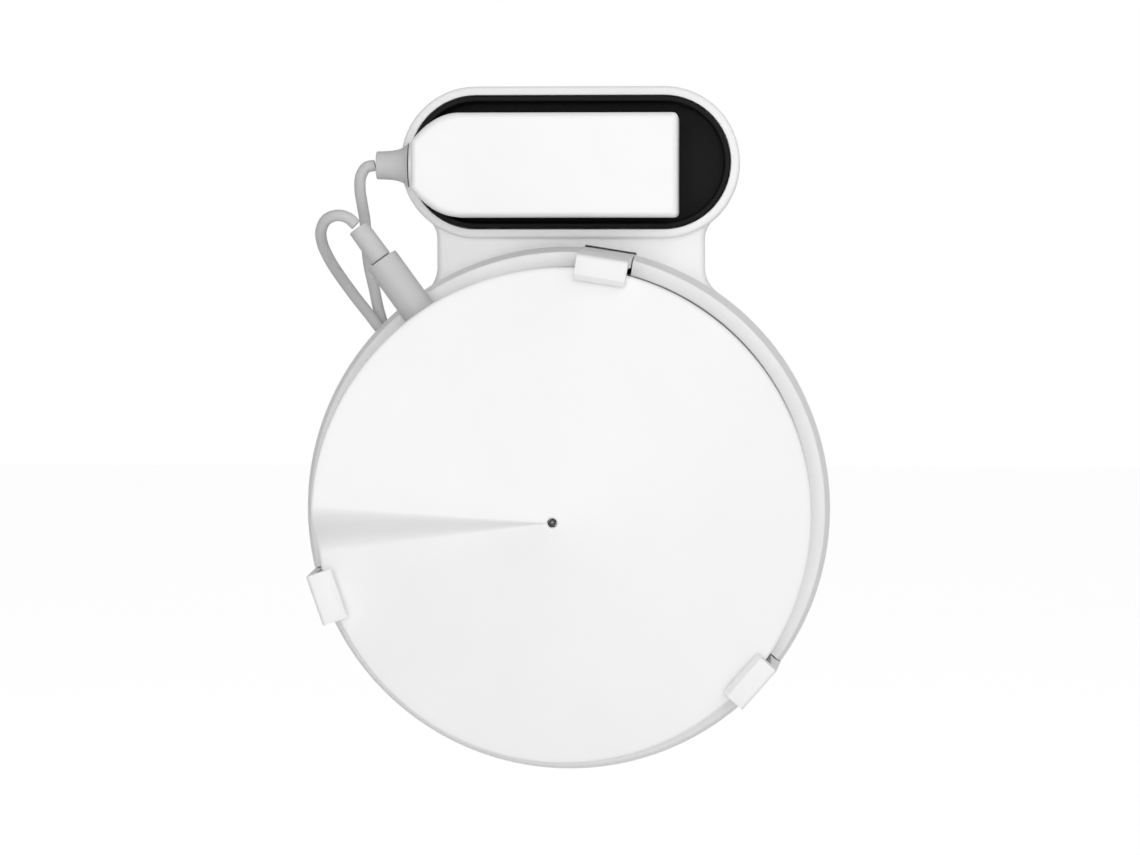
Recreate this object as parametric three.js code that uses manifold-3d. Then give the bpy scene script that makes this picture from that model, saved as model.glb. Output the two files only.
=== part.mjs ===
// A round mesh router snapped into its wall holder, with its plug-in power adapter and lead.
// Everything is modelled as seen from the front: x to the right, y up, z out of the wall,
// with the origin where the router's axis meets the wall. The last lines turn it to +Z up.
// Sizes are in millimetres.
import * as THREE from 'three';
import { mergeVertices } from 'three/addons/utils/BufferGeometryUtils.js';
import Module from 'manifold-3d';

const wasm = await Module();
wasm.setup();

// ---------- driving dimensions ----------
const GAP = 0.3;              // between two pieces that touch
const ROUND_SIDES = 72;       // sides of the large turned shells
const ARC_STEP = 5;           // degrees along the large arcs of an outline
const FILLET_STEP = 15;

// router
const LID_R = 60;
const ROUTER_H = 34;          // back of the case to the rim plane of the lid
const LID_DOME = 6.5;           // rise of the lid from its rim to the status light
const LID_SKIRT_H = 3.4;
const LID_T = 2;
const LID_EDGE = 0.8;         // chamfer round the rim
const SKIRT_T = 2;
const SHELL_T = 2;
const SHELL_INSET = 0.7;      // lower shell inside the lid's side
const BASE_INSET = 10;        // flat back of the lower shell inside the lid's side
const LID_SIDES = 90;
const LIGHT_X = -2.05;
const LIGHT_Y = -1.1;
const LIGHT_HOLE_R = 1.15;
const VISOR_H = 8;            // lift of the lid's rim over the ports
const VISOR_START = 95;       // angles run counter-clockwise from +x, in degrees
const VISOR_FULL = 172;
const FOLD_START = 176;
const FOLD_END = 188;
const FOLD_DIP = 1.5;
const DIP_END = 240;
const SKIRT_LIFT = 0.5;       // share of the lift that the skirt's lower edge takes

// router insides
const BOARD_INSET = 8;        // edge of the board inside the lid's side
const BOARD_T = 1.6;
const BOARD_DEPTH = 20.4;     // rim plane of the lid above the board
const SCREW_RING_R = 42;
const SCREW_ANGLES = [20, 100, 200, 280];
const SCREW_R = 1.3;
const SCREW_BITE = 6.2;       // shank above the board
const SCREW_HEAD_R = 2.6;
const SCREW_HEAD_H = 1.4;
const SHELL_BOSS_R = 4.2;
const LID_BOSS_R = 3.2;
const BOSS_ROOF = 0.4;        // lid's underside above the end of a screw hole
const FOOT_R = 4.6;
const FOOT_T = 1.7;
const FOOT_PROUD = 0.5;
const ANTENNA_ANGLES = [20, 70, 250, 290];
const ANTENNA_R = 47;
const ANTENNA_W = 22;
const ANTENNA_H = 14;
const ANTENNA_T = 0.8;
const PROCESSOR = { x: 14, y: 12, w: 14, h: 1.6, shieldW: 24, shieldD: 22 };
const RADIO = { x: -18, y: -14, w: 9, h: 1.2, shieldW: 22, shieldD: 20 };
const SHIELD_H = 4;
const SHIELD_T = 0.5;
const SPREADER_R = 36;
const SPREADER_T = 2;
const LED_W = 1.8;
const LED_H = 0.9;
const PIPE_R = 1.4;
const PIPE_TIP_R = 0.85;

// ports, on the lifted side
const BEZEL_START = 113;
const BEZEL_LAP = 11;         // degrees past the last jack's axis
const BEZEL_T = 1.8;
const BEZEL_RECESS = 2.6;     // face of the bezel inside the lid's side
const BEZEL_SILL = 3;         // lower edge below the board
const BROW_START = 96;        // the bezel's upper edge runs on past it, to where the lid comes down
const BROW_END = 187;
const PORT_MARGIN = 0.3;      // round each jack's mouth
const LAN_ANGLE = 145;        // of the first jack
const LAN_SPACING = 1.85;     // between the inner ends of the two jacks
const LAN_W = 15.6;
const LAN_H = 13.1;
const LAN_L = 13.6;
const LAN_MOUTH_W = 11.8;
const LAN_MOUTH_H = 8.2;
const LAN_MOUTH_L = 11.5;
const LAN_MOUTH_RISE = 2.6;
const POWER_ANGLE = 126;
const POWER_AXIS_RISE = 8.4;  // plug axis above the board
const SOCKET_W = 9;
const SOCKET_H = 13.5;
const SOCKET_L = 10;
const SOCKET_BORE_L = 9;
const RESET_ANGLE = 117.5;
const RESET_R = 1.2;
const RESET_L = 6.2;
const RESET_RISE = 2.9;       // axis above the board
const RESET_RECESS = 0.2;     // end of the button inside the bezel's face
const RESET_SWITCH = 3.4;
const RESET_TRAVEL_GAP = 0.9;

// power plug
const BARREL_R = 2.75;
const BARREL_BORE_R = 1.1;
const BARREL_L = 8;
const PLUG_R = 4.15;
const PLUG_L = 17.9;
const PLUG_STANDOFF = 0.9;    // plug body outside the bezel's face
const RELIEF_R = 2.75;
const RELIEF_TIP_R = 2.6;
const RELIEF_L = 9.4;
const CORD_R = 1.4;

// wall holder
const BACK_T = 3;
const CABLE_BAY = 8.2;        // space for the lead behind the router
const CUP_CLEAR = 0.6;
const CUP_RIM_T = 3;
const CUP_BAND_T = 4.3;       // wall of the cup below its sloping rim
const CUP_PLUG_CLEAR = 3.85;  // rim of the cup below the plug
const CUP_SLOPE_H = 5;
const REST_ANGLES = [20, 200, 280];
const REST_R = 4;
const NOTCH_ANGLE = 137;
const NOTCH_W = 17;
const NOTCH_H = 8.4;
const NECK_HALF_W = 33.6;
const NECK_FILLET_TOP = 6;
const NECK_FILLET_CUP = 8;
const NECK_Z = 9;
const FRAME_Z = 12;
const FRAME_BAND = 2.2;
const OVAL_R = 16.7;          // opening of the frame
const OVAL_HALF = 23.5;       // half of its straight length
const OVAL_ABOVE_CUP = 4.4;   // gap between the cup's wall and the opening
const HOUSING_T = 2;
const TRAY_T = 1.2;
const TRAY_FLOOR_T = 2;
const HUB_R = 17.8;
const HUB_H = 7.6;
const HUB_T = 1.8;
const HUB_FLANGE = 3.4;
const HUB_FLANGE_T = 1.1;

// clips
const CLIPS = { top: 81, left: 199, right: 319 };
const CLIP_W = 12.4;
const CLIP_T = 3.4;
const CLIP_TOP_T = 2;
const CLIP_STANDOFF = 1.3;    // clip's inner face outside the lid's side
const CLIP_OVERLAP = 3.2;
const CLIP_LIP_T = 1.3;
const CLIP_SLOT_CLEAR = 0.8;
const CLIP_SWING_ROOM = 1;    // behind the top clip

// power adapter
const ADAPTER_LEFT = -38.1;
const ADAPTER_RIGHT = 27.3;
const ADAPTER_DROP = 1.1;     // middle of the adapter below the middle of the tray
const ADAPTER_H = 25.5;
const ADAPTER_D = 24;
const ADAPTER_END_H = 11.6;
const ADAPTER_NOSE_L = 11.8;
const ADAPTER_CORNER_R = 1.2;
const ADAPTER_T = 1.8;
const ADAPTER_BACK_INSET = 1.6;
const BLADE_X = -5;
const BLADE_PITCH = 12.7;
const BLADE_W = 6.35;
const BLADE_T = 1.5;
const BLADE_L = 17.5;
const BLADE_TAIL = 2.6;
const BLADE_SLOT_CLEAR = 0.8;
const CABLE_EXIT_RISE = 12.4; // axis of the lead above the adapter's back
const CABLE_EXIT_LIFT = 0.2;  // and above its middle
const TRANSFORMER = { x: -1, w: 16, h: 14, d: 10 };
const WINDING_INSET = 2;      // ends of the winding inside the core's
const WINDING_PROUD = 1.4;
const WINDING_MARGIN = 1.5;
const INPUT_CAN = { x: 14.5, y: 0, r: 5 };
const OUTPUT_CAN = { x: -16, y: 3.6, r: 3.2 };
const CAN_L = 12;
const FLANGE_T = 1;
const FLANGE_R = 5.8;
const BOOT_L = 8;
const BOOT_BASE_R = 5.5;
const BOOT_NECK_R = 4.2;
const BOOT_TIP_R = 3.45;
const BOOT_FLATTEN = 0.85;

// lead
const COIL_TURNS_WIDE = 4;
const COIL_LAYERS = 2;
const CORD_PITCH = 2.9;

// ---------- derived places ----------
const BACK_Z = BACK_T + CABLE_BAY + GAP + FOOT_PROUD;
const RIM_Z = BACK_Z + ROUTER_H;
const SKIRT_Z = RIM_Z - LID_SKIRT_H;
const SHELL_TOP_Z = SKIRT_Z - GAP;
const SHELL_R = LID_R - SHELL_INSET;
const BOARD_R = LID_R - BOARD_INSET;
const BOARD_TOP = RIM_Z - BOARD_DEPTH;
const BOARD_Z = BOARD_TOP - BOARD_T;
const BEZEL_R = LID_R - BEZEL_RECESS;
const BEZEL_INNER_R = BEZEL_R - BEZEL_T;
const BEZEL_Z = BOARD_Z - BEZEL_SILL;
const PLUG_Z = BOARD_TOP + POWER_AXIS_RISE;
const RESET_Z = BOARD_TOP + RESET_RISE;
const RESET_END_R = BEZEL_R - RESET_RECESS;
const CUP_H = PLUG_Z - PLUG_R - CUP_PLUG_CLEAR;
const CUP_INNER_R = LID_R + CUP_CLEAR;
const CUP_RIM_R = CUP_INNER_R + CUP_RIM_T;
const CUP_R = CUP_INNER_R + CUP_BAND_T;
const OVAL_Y = CUP_R + OVAL_ABOVE_CUP + OVAL_R;
const FRAME_R = OVAL_R + FRAME_BAND;
const TRAY_R = OVAL_R - GAP;
const TRAY_FLOOR_TOP = BACK_T + GAP + TRAY_FLOOR_T;
const ADAPTER_Y = OVAL_Y - ADAPTER_DROP;
const ADAPTER_Z = TRAY_FLOOR_TOP + GAP;
const ADAPTER_MID_Z = ADAPTER_Z + ADAPTER_D / 2;
const CABLE_EXIT_Z = ADAPTER_Z + CABLE_EXIT_RISE;
const COIL_INNER_R = HUB_R + GAP;
const COIL_OUTER_R = COIL_INNER_R + COIL_TURNS_WIDE * CORD_PITCH;
const COIL_Z = BACK_T + 2 * GAP;

// ---------- materials ----------
function plastic(color, roughness = 0.5) {
  return new THREE.MeshStandardMaterial({ color, roughness, metalness: 0 });
}
function metal(color, roughness = 0.35) {
  return new THREE.MeshStandardMaterial({ color, roughness, metalness: 1 });
}
const WHITE = plastic(0xf1f1f1, 0.4);
const HOLDER_WHITE = plastic(0xf4f4f4, 0.5);
const CORD_GREY = plastic(0xc4c4c4, 0.55);
const BLACK = plastic(0x1f1f1f, 0.5);
const PORT_GREY = plastic(0xd8d8d8, 0.5);
const CLEAR = plastic(0xe6ebee, 0.15);
const RUBBER = plastic(0x8d8d8d, 0.85);
const BOARD_GREEN = plastic(0x1f5a3a, 0.6);
const STEEL = metal(0xb9bcc0);
const BRASS = metal(0xc9a55a);
const ALUMINIUM = metal(0xc6c8cb, 0.45);
const CHIP = plastic(0x26282a, 0.6);
const WINDING = plastic(0xc9a13a, 0.7);
const CAN_BLUE = plastic(0x2b3e63, 0.4);

// ---------- solids ----------
const rad = THREE.MathUtils.degToRad;
const degrees = THREE.MathUtils.radToDeg;

function toSolid(geometry) {
  const bare = geometry.index ? geometry.toNonIndexed() : geometry.clone();
  bare.deleteAttribute('normal');
  bare.deleteAttribute('uv');
  const merged = mergeVertices(bare, 1e-4);
  const index = Array.from(merged.index.array);
  const triangles = [];
  for (let i = 0; i < index.length; i += 3) {
    const [a, b, c] = index.slice(i, i + 3);
    if (a !== b && b !== c && c !== a) triangles.push(a, b, c);
  }
  return new wasm.Manifold(new wasm.Mesh({
    numProp: 3,
    vertProperties: new Float32Array(merged.attributes.position.array),
    triVerts: new Uint32Array(triangles),
  }));
}

function toGeometry(solid) {
  const mesh = solid.getMesh();
  const geometry = new THREE.BufferGeometry();
  const position = new THREE.BufferAttribute(new Float32Array(mesh.vertProperties), 3);
  geometry.setAttribute('position', position);
  geometry.setIndex(new THREE.BufferAttribute(new Uint32Array(mesh.triVerts), 1));
  geometry.computeVertexNormals();
  return geometry;
}

function box(x0, x1, y0, y1, z0, z1) {
  const geometry = new THREE.BoxGeometry(x1 - x0, y1 - y0, z1 - z0);
  return geometry.translate((x0 + x1) / 2, (y0 + y1) / 2, (z0 + z1) / 2);
}

// a body turned about z from [radius, height] points that run up its outer side
function turned(points, sides = ROUND_SIDES) {
  const closed = points[0][0] > 0 || points.at(-1)[0] > 0;
  const profile = points.map(([r, z]) => new THREE.Vector2(r, z));
  if (closed) profile.push(profile[0].clone());
  return new THREE.LatheGeometry(profile, sides).rotateX(Math.PI / 2);
}

function cylinder(r, z0, z1, x = 0, y = 0, sides = 20) {
  return turned([[0, z0], [r, z0], [r, z1], [0, z1]], sides).translate(x, y, 0);
}

// the same along +x, for pieces that lie on a radius
function radialCylinder(points, sides = 24) {
  return turned(points, sides).rotateY(Math.PI / 2);
}

function extruded(shape, z0, z1, curveSegments = 12) {
  const options = { depth: z1 - z0, bevelEnabled: false, curveSegments };
  return new THREE.ExtrudeGeometry(shape, options).translate(0, 0, z0);
}

// an outline in the (radius, height) plane, given a width across the radius
function acrossRadius(shape, width, curveSegments = 8) {
  return extruded(shape, -width / 2, width / 2, curveSegments).rotateX(Math.PI / 2);
}

// points along an arc, from one angle to another in degrees
function arc(x, y, r, from, to, step = ARC_STEP) {
  const count = Math.max(Math.ceil(Math.abs(to - from) / step - 1e-6), 1);
  return Array.from({ length: count + 1 }, (_, i) => {
    const angle = rad(from + (to - from) * i / count);
    return new THREE.Vector2(x + r * Math.cos(angle), y + r * Math.sin(angle));
  });
}

// a closed outline through arcs that may share their end points
function outlineOf(...arcs) {
  const points = arcs.flat();
  return new THREE.Shape(points.filter((p, i) => p.distanceTo(points.at(i - 1)) > 1e-4));
}

function stadium(r, half, x = 0, y = 0) {
  return outlineOf(
    arc(x + half, y, r, -90, 90, 2 * ARC_STEP),
    arc(x - half, y, r, 90, 270, 2 * ARC_STEP),
  );
}

function sector(r0, r1, from, to) {
  return outlineOf(arc(0, 0, r1, from, to), arc(0, 0, r0, to, from));
}

function union(first, ...rest) {
  return rest.reduce((sum, geometry) => sum.add(toSolid(geometry)), toSolid(first));
}

function cut(solid, ...tools) {
  return tools.reduce((left, geometry) => left.subtract(toSolid(geometry)), solid);
}

const front = new THREE.Group();

function place(name, shape, material, parent = front) {
  const geometry = shape.isBufferGeometry ? shape : toGeometry(shape);
  const mesh = new THREE.Mesh(geometry, material);
  mesh.name = name;
  parent.add(mesh);
  return mesh;
}

// a group whose +x points out along a radius at the given angle
function onRadius(angle) {
  const group = new THREE.Group();
  group.rotation.z = rad(angle);
  front.add(group);
  return group;
}

function polar(r, angle) {
  return [r * Math.cos(rad(angle)), r * Math.sin(rad(angle))];
}

// ---------- router: the folded lid ----------
function smooth(from, to, x) {
  const t = THREE.MathUtils.clamp((x - from) / (to - from), 0, 1);
  return t * t * (3 - 2 * t);
}

// lift of the rim at an angle: it climbs over the ports and falls in one sharp fold
function rimLift(angle) {
  const climb = VISOR_H * smooth(VISOR_START, VISOR_FULL, angle);
  const fall = (VISOR_H + FOLD_DIP) * smooth(FOLD_START, FOLD_END, angle);
  const recovery = FOLD_DIP * smooth(FOLD_END, DIP_END, angle);
  return climb - fall + recovery;
}

// every point of the lid lies on a straight line from the status light to the rim
function foldLid(geometry) {
  const position = geometry.attributes.position;
  for (let i = 0; i < position.count; i += 1) {
    const x = position.getX(i);
    const y = position.getY(i);
    const z = position.getZ(i);
    const dx = x - LIGHT_X;
    const dy = y - LIGHT_Y;
    const reach = Math.hypot(dx, dy);
    const along = (LIGHT_X * dx + LIGHT_Y * dy) / Math.max(reach, 1e-6);
    const toRim = -along + Math.sqrt(along ** 2 + LID_R ** 2 - LIGHT_X ** 2 - LIGHT_Y ** 2);
    const share = Math.min(reach / toRim, 1);
    const angle = degrees(Math.atan2(dy, dx)) + (dy < 0 ? 360 : 0);
    const lift = rimLift(angle);
    const skirt = z < -LID_T - 1e-3;
    const rise = skirt ? SKIRT_LIFT * Math.max(lift, 0) : lift;
    position.setZ(i, RIM_Z + z + LID_DOME * (1 - share) + rise * share);
  }
  return geometry;
}

function lid() {
  const edge = LID_EDGE;
  const inner = LID_R - SKIRT_T;
  const plate = turned([
    [0, -LID_T], [inner, -LID_T], [inner, -LID_SKIRT_H], [LID_R, -LID_SKIRT_H],
    [LID_R, -edge], [LID_R - edge, 0], [LID_R * 0.5, 0], [0, 0],
  ], LID_SIDES);
  const bossTop = RIM_Z + GAP;
  const holeTop = RIM_Z - LID_T - BOSS_ROOF;
  const bosses = SCREW_ANGLES.map((angle) => (
    cylinder(LID_BOSS_R, BOARD_TOP + GAP, bossTop, ...polar(SCREW_RING_R, angle))));
  const holes = SCREW_ANGLES.map((angle) => (
    cylinder(SCREW_R + GAP, BOARD_TOP, holeTop, ...polar(SCREW_RING_R, angle), 16)));
  const light = cylinder(LIGHT_HOLE_R, RIM_Z - LID_T, RIM_Z + 2 * LID_DOME, LIGHT_X, LIGHT_Y);
  return cut(union(foldLid(plate), ...bosses), ...holes, light);
}

// ---------- router: lower shell, screws and feet ----------
const HEAD_SEAT_Z = BACK_Z - FOOT_PROUD + FOOT_T + GAP;
const HEAD_TOP_Z = HEAD_SEAT_Z + GAP + SCREW_HEAD_H + GAP;

function lowerShell() {
  const r = SHELL_R;
  const base = LID_R - BASE_INSET;
  const z = BACK_Z;
  const top = SHELL_TOP_Z;
  const side = CUP_H - BACK_Z;
  const shell = turned([
    [0, z], [base, z], [r - 5, z + 2.4], [r - 2.4, z + 7], [r - 0.7, z + side], [r, top],
    [r - SHELL_T, top], [r - 2.4 - SHELL_T, z + 8], [r - 5 - SHELL_T, z + 4],
    [base - 1, z + SHELL_T], [0, z + SHELL_T],
  ]);
  const bosses = SCREW_ANGLES.map((angle) => (
    cylinder(SHELL_BOSS_R, z + 0.5, BOARD_Z - GAP, ...polar(SCREW_RING_R, angle))));
  const wells = SCREW_ANGLES.flatMap((angle) => {
    const at = polar(SCREW_RING_R, angle);
    return [
      cylinder(FOOT_R + GAP, z - 1, HEAD_SEAT_Z - GAP, ...at),
      cylinder(SCREW_HEAD_R + GAP, z - 1, HEAD_TOP_Z, ...at),
      cylinder(SCREW_R + GAP, z, BOARD_Z, ...at, 16),
    ];
  });
  const window = extruded(sector(LID_R - 8, LID_R + 2, BEZEL_START - 0.4, BEZEL_END + 0.4),
    BEZEL_Z - GAP, top + 1);
  return cut(union(shell, ...bosses), ...wells, window);
}

function screw(angle) {
  const seat = HEAD_SEAT_Z + GAP;
  const neck = seat + SCREW_HEAD_H;
  const shank = BOARD_TOP + SCREW_BITE;
  return turned([
    [0, seat], [SCREW_HEAD_R, seat], [SCREW_HEAD_R, neck], [SCREW_R, neck],
    [SCREW_R, shank], [0, shank + SCREW_R],
  ], 16).translate(...polar(SCREW_RING_R, angle), 0);
}

function foot(angle) {
  const z = BACK_Z - FOOT_PROUD;
  return cylinder(FOOT_R, z, z + FOOT_T, ...polar(SCREW_RING_R, angle));
}

// ---------- router: board and what stands on it ----------
function mainBoard() {
  const holes = SCREW_ANGLES.map((angle) => (
    cylinder(SCREW_R + GAP, BOARD_Z - 1, BOARD_TOP + 1, ...polar(SCREW_RING_R, angle), 16)));
  return cut(toSolid(cylinder(BOARD_R, BOARD_Z, BOARD_TOP, 0, 0, 64)), ...holes);
}

function shieldCan({ x, y, shieldW: w, shieldD: d }) {
  const z = BOARD_TOP + GAP;
  const t = SHIELD_T;
  const outside = box(x - w / 2, x + w / 2, y - d / 2, y + d / 2, z, z + SHIELD_H);
  const inside = box(x - w / 2 + t, x + w / 2 - t, y - d / 2 + t, y + d / 2 - t, z - 1, z + SHIELD_H - t);
  return cut(toSolid(outside), inside);
}

function chip({ x, y, w, h }) {
  const z = BOARD_TOP + GAP;
  return box(x - w / 2, x + w / 2, y - w / 2, y + w / 2, z, z + h);
}

function heatSpreader() {
  const z = BOARD_TOP + GAP + SHIELD_H + GAP;
  const plate = cylinder(SPREADER_R, z, z + SPREADER_T, 0, 0, 64);
  return cut(toSolid(plate), cylinder(PIPE_R + 2 * GAP, z - 1, z + 5, LIGHT_X, LIGHT_Y));
}

function lightPipe() {
  const z = BOARD_TOP + GAP + LED_H + GAP;
  const shoulder = RIM_Z + LID_DOME - LID_T - 3 * GAP;
  const tip = RIM_Z + LID_DOME - 0.8;
  return turned([
    [0, z], [PIPE_R, z], [PIPE_R, shoulder], [PIPE_TIP_R, shoulder], [PIPE_TIP_R, tip - 0.3], [0, tip],
  ], 16).translate(LIGHT_X, LIGHT_Y, 0);
}

function antenna() {
  const z = BOARD_TOP + GAP;
  const halfT = ANTENNA_T / 2;
  return box(ANTENNA_R - halfT, ANTENNA_R + halfT, -ANTENNA_W / 2, ANTENNA_W / 2, z, z + ANTENNA_H);
}

// ---------- router: ports ----------
// front of a flat-faced piece that stands just inside the curved bezel
function behindBezel(halfWidth) {
  return Math.sqrt(BEZEL_INNER_R ** 2 - halfWidth ** 2) - GAP;
}

const LAN_FRONT = behindBezel(LAN_W / 2);
const LAN_BACK = LAN_FRONT - LAN_L;
// the jacks stand side by side, so their axes part by twice this angle
const LAN_HALF_ANGLE = degrees(Math.atan2(LAN_W / 2, LAN_BACK)
  + Math.asin(LAN_SPACING / 2 / Math.hypot(LAN_BACK, LAN_W / 2)));
const LAN_ANGLES = [LAN_ANGLE, LAN_ANGLE + 2 * LAN_HALF_ANGLE];
const BEZEL_END = LAN_ANGLES[1] + BEZEL_LAP;
const SOCKET_FRONT = behindBezel(SOCKET_W / 2);
const LAN_MOUTH_Z = BOARD_TOP + GAP + LAN_MOUTH_RISE;

function lanJack() {
  const z = BOARD_TOP + GAP;
  const body = box(LAN_BACK, LAN_FRONT, -LAN_W / 2, LAN_W / 2, z, z + LAN_H);
  const mouth = box(LAN_FRONT - LAN_MOUTH_L, LAN_FRONT + 1, -LAN_MOUTH_W / 2, LAN_MOUTH_W / 2,
    LAN_MOUTH_Z, LAN_MOUTH_Z + LAN_MOUTH_H);
  return cut(toSolid(body), mouth);
}

function powerSocket() {
  const z = BOARD_TOP + GAP;
  const body = box(SOCKET_FRONT - SOCKET_L, SOCKET_FRONT, -SOCKET_W / 2, SOCKET_W / 2, z, z + SOCKET_H);
  const r = BARREL_R + GAP;
  const from = SOCKET_FRONT - SOCKET_BORE_L;
  const bore = radialCylinder([[0, from], [r, from], [r, SOCKET_FRONT + 1], [0, SOCKET_FRONT + 1]]);
  return cut(toSolid(body), bore.translate(0, 0, PLUG_Z));
}

// closes the port bay up to the lid, a gap below the lid's underside
function bezelPlate() {
  const tallZ = RIM_Z + VISOR_H;
  const plate = extruded(sector(BEZEL_INNER_R, BEZEL_R, BEZEL_START, BEZEL_END), BEZEL_Z, tallZ);
  const brow = extruded(sector(BEZEL_INNER_R, BEZEL_R, BROW_START, BROW_END), SHELL_TOP_Z + GAP, tallZ);
  const lidSpace = foldLid(turned([
    [0, -LID_T], [LID_R, -LID_T], [LID_R, 2 * VISOR_H], [0, 2 * VISOR_H],
  ], LID_SIDES)).translate(0, 0, -GAP);
  return cut(union(plate, brow), lidSpace);
}

function portBezel() {
  const plate = bezelPlate();
  const through = [BEZEL_INNER_R - 4, BEZEL_R + 4];
  const margin = PORT_MARGIN;
  const lanHoles = LAN_ANGLES.map((angle) => (
    box(...through, -LAN_MOUTH_W / 2 - margin, LAN_MOUTH_W / 2 + margin,
      LAN_MOUTH_Z - margin, LAN_MOUTH_Z + LAN_MOUTH_H + margin).rotateZ(rad(angle))));
  const round = (r, z, angle) => (
    radialCylinder([[0, through[0]], [r, through[0]], [r, through[1]], [0, through[1]]])
      .translate(0, 0, z).rotateZ(rad(angle)));
  const powerHole = round(BARREL_R + 2 * GAP, PLUG_Z, POWER_ANGLE);
  const resetHole = round(RESET_R + GAP, RESET_Z, RESET_ANGLE);
  return cut(plate, ...lanHoles, powerHole, resetHole);
}

function resetButton() {
  const to = RESET_END_R;
  const from = to - RESET_L;
  return radialCylinder([[0, from], [RESET_R, from], [RESET_R, to], [0, to]], 16)
    .translate(0, 0, RESET_Z);
}

function resetSwitch() {
  const to = RESET_END_R - RESET_L - RESET_TRAVEL_GAP;
  const z = BOARD_TOP + GAP;
  const top = RESET_Z + RESET_SWITCH / 2;
  return box(to - RESET_SWITCH, to, -RESET_SWITCH / 2, RESET_SWITCH / 2, z, top);
}

// ---------- power plug ----------
const PLUG_FROM = BEZEL_R + PLUG_STANDOFF;
const PLUG_TO = PLUG_FROM + PLUG_L;
const PLUG_RELIEF_FROM = PLUG_TO + GAP;
const PLUG_RELIEF_TO = PLUG_RELIEF_FROM + RELIEF_L;

function plugBarrel() {
  const to = PLUG_FROM - GAP;
  const from = to - BARREL_L;
  return radialCylinder([[BARREL_BORE_R, from], [BARREL_R, from], [BARREL_R, to], [BARREL_BORE_R, to]]);
}

function plugBody() {
  const round = 0.8;
  return radialCylinder([
    [0, PLUG_FROM], [PLUG_R, PLUG_FROM], [PLUG_R, PLUG_TO - round], [PLUG_R - round, PLUG_TO], [0, PLUG_TO],
  ]);
}

function plugRelief() {
  return radialCylinder([
    [0, PLUG_RELIEF_FROM], [RELIEF_R, PLUG_RELIEF_FROM], [RELIEF_TIP_R, PLUG_RELIEF_TO], [0, PLUG_RELIEF_TO],
  ]);
}

// ---------- wall holder ----------
// half of the holder's outline, from the cup up to the frame, leaves the cup on a fillet
// centred at [x, y] and joins the frame on another
function neckFillets(cupR, frameR) {
  const cupX = NECK_HALF_W + NECK_FILLET_CUP;
  const cupY = Math.sqrt((cupR + NECK_FILLET_CUP) ** 2 - cupX ** 2);
  const topX = NECK_HALF_W + NECK_FILLET_TOP;
  const topY = OVAL_Y - Math.sqrt((frameR + NECK_FILLET_TOP) ** 2 - (topX - OVAL_HALF) ** 2);
  return { cupX, cupY, topX, topY };
}

function holderOutline(cupR, frameR) {
  const { cupX, cupY, topX, topY } = neckFillets(cupR, frameR);
  const cupAngle = degrees(Math.atan2(cupY, cupX));
  const topAngle = degrees(Math.atan2(topY - OVAL_Y, topX - OVAL_HALF));
  return outlineOf(
    arc(0, 0, cupR, 180 - cupAngle, 360 + cupAngle),
    arc(cupX, cupY, NECK_FILLET_CUP, cupAngle + 180, 180, FILLET_STEP),
    arc(topX, topY, NECK_FILLET_TOP, 180, topAngle + 180, FILLET_STEP),
    arc(OVAL_HALF, OVAL_Y, frameR, topAngle, 90, 2 * ARC_STEP),
    arc(-OVAL_HALF, OVAL_Y, frameR, 90, 180 - topAngle, 2 * ARC_STEP),
    arc(-topX, topY, NECK_FILLET_TOP, -topAngle, 0, FILLET_STEP),
    arc(-cupX, cupY, NECK_FILLET_CUP, 0, -cupAngle, FILLET_STEP),
  );
}

function bladeSlots(z0, z1, clearance) {
  return [-0.5, 0.5].map((side) => {
    const x = BLADE_X + side * BLADE_PITCH;
    const halfT = BLADE_T / 2 + clearance;
    const halfW = BLADE_W / 2 + clearance;
    return box(x - halfT, x + halfT, ADAPTER_Y - halfW, ADAPTER_Y + halfW, z0, z1);
  });
}

function cupWall() {
  return turned([
    [CUP_INNER_R, BACK_T - 1], [CUP_R, BACK_T - 1], [CUP_R, CUP_H - CUP_SLOPE_H], [CUP_RIM_R, CUP_H],
    [CUP_INNER_R, CUP_H],
  ]);
}

function holderBody() {
  const plate = extruded(holderOutline(CUP_R, FRAME_R), 0, BACK_T);
  const rests = REST_ANGLES.map((angle) => (
    cylinder(REST_R, BACK_T - 1, BACK_T + CABLE_BAY, ...polar(SCREW_RING_R, angle))));
  const half = CLIP_W / 2 + CLIP_SLOT_CLEAR;
  const slots = Object.values(CLIPS).map((angle) => (
    box(CUP_INNER_R - 2, CUP_R + 2, -half, half, BACK_T, CUP_H + 1).rotateZ(rad(angle))));
  const notch = box(CUP_INNER_R - 2, CUP_R + 2, -NOTCH_W / 2, NOTCH_W / 2, BACK_T, BACK_T + NOTCH_H)
    .rotateZ(rad(NOTCH_ANGLE));
  const bladeHoles = bladeSlots(-1, BACK_T + 1, BLADE_SLOT_CLEAR);
  return cut(union(plate, cupWall(), ...rests), ...slots, notch, ...bladeHoles);
}

// room for the top clip to swing back, with a wall's thickness round it where one is asked for
function clipPocket(wall = 0) {
  const half = CLIP_W / 2 + CLIP_SLOT_CLEAR + wall;
  const outer = CUP_R + CLIP_SWING_ROOM + wall;
  return box(CUP_R - 2, outer, -half, half, 0, FRAME_Z + 1).rotateZ(rad(CLIPS.top));
}

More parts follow.
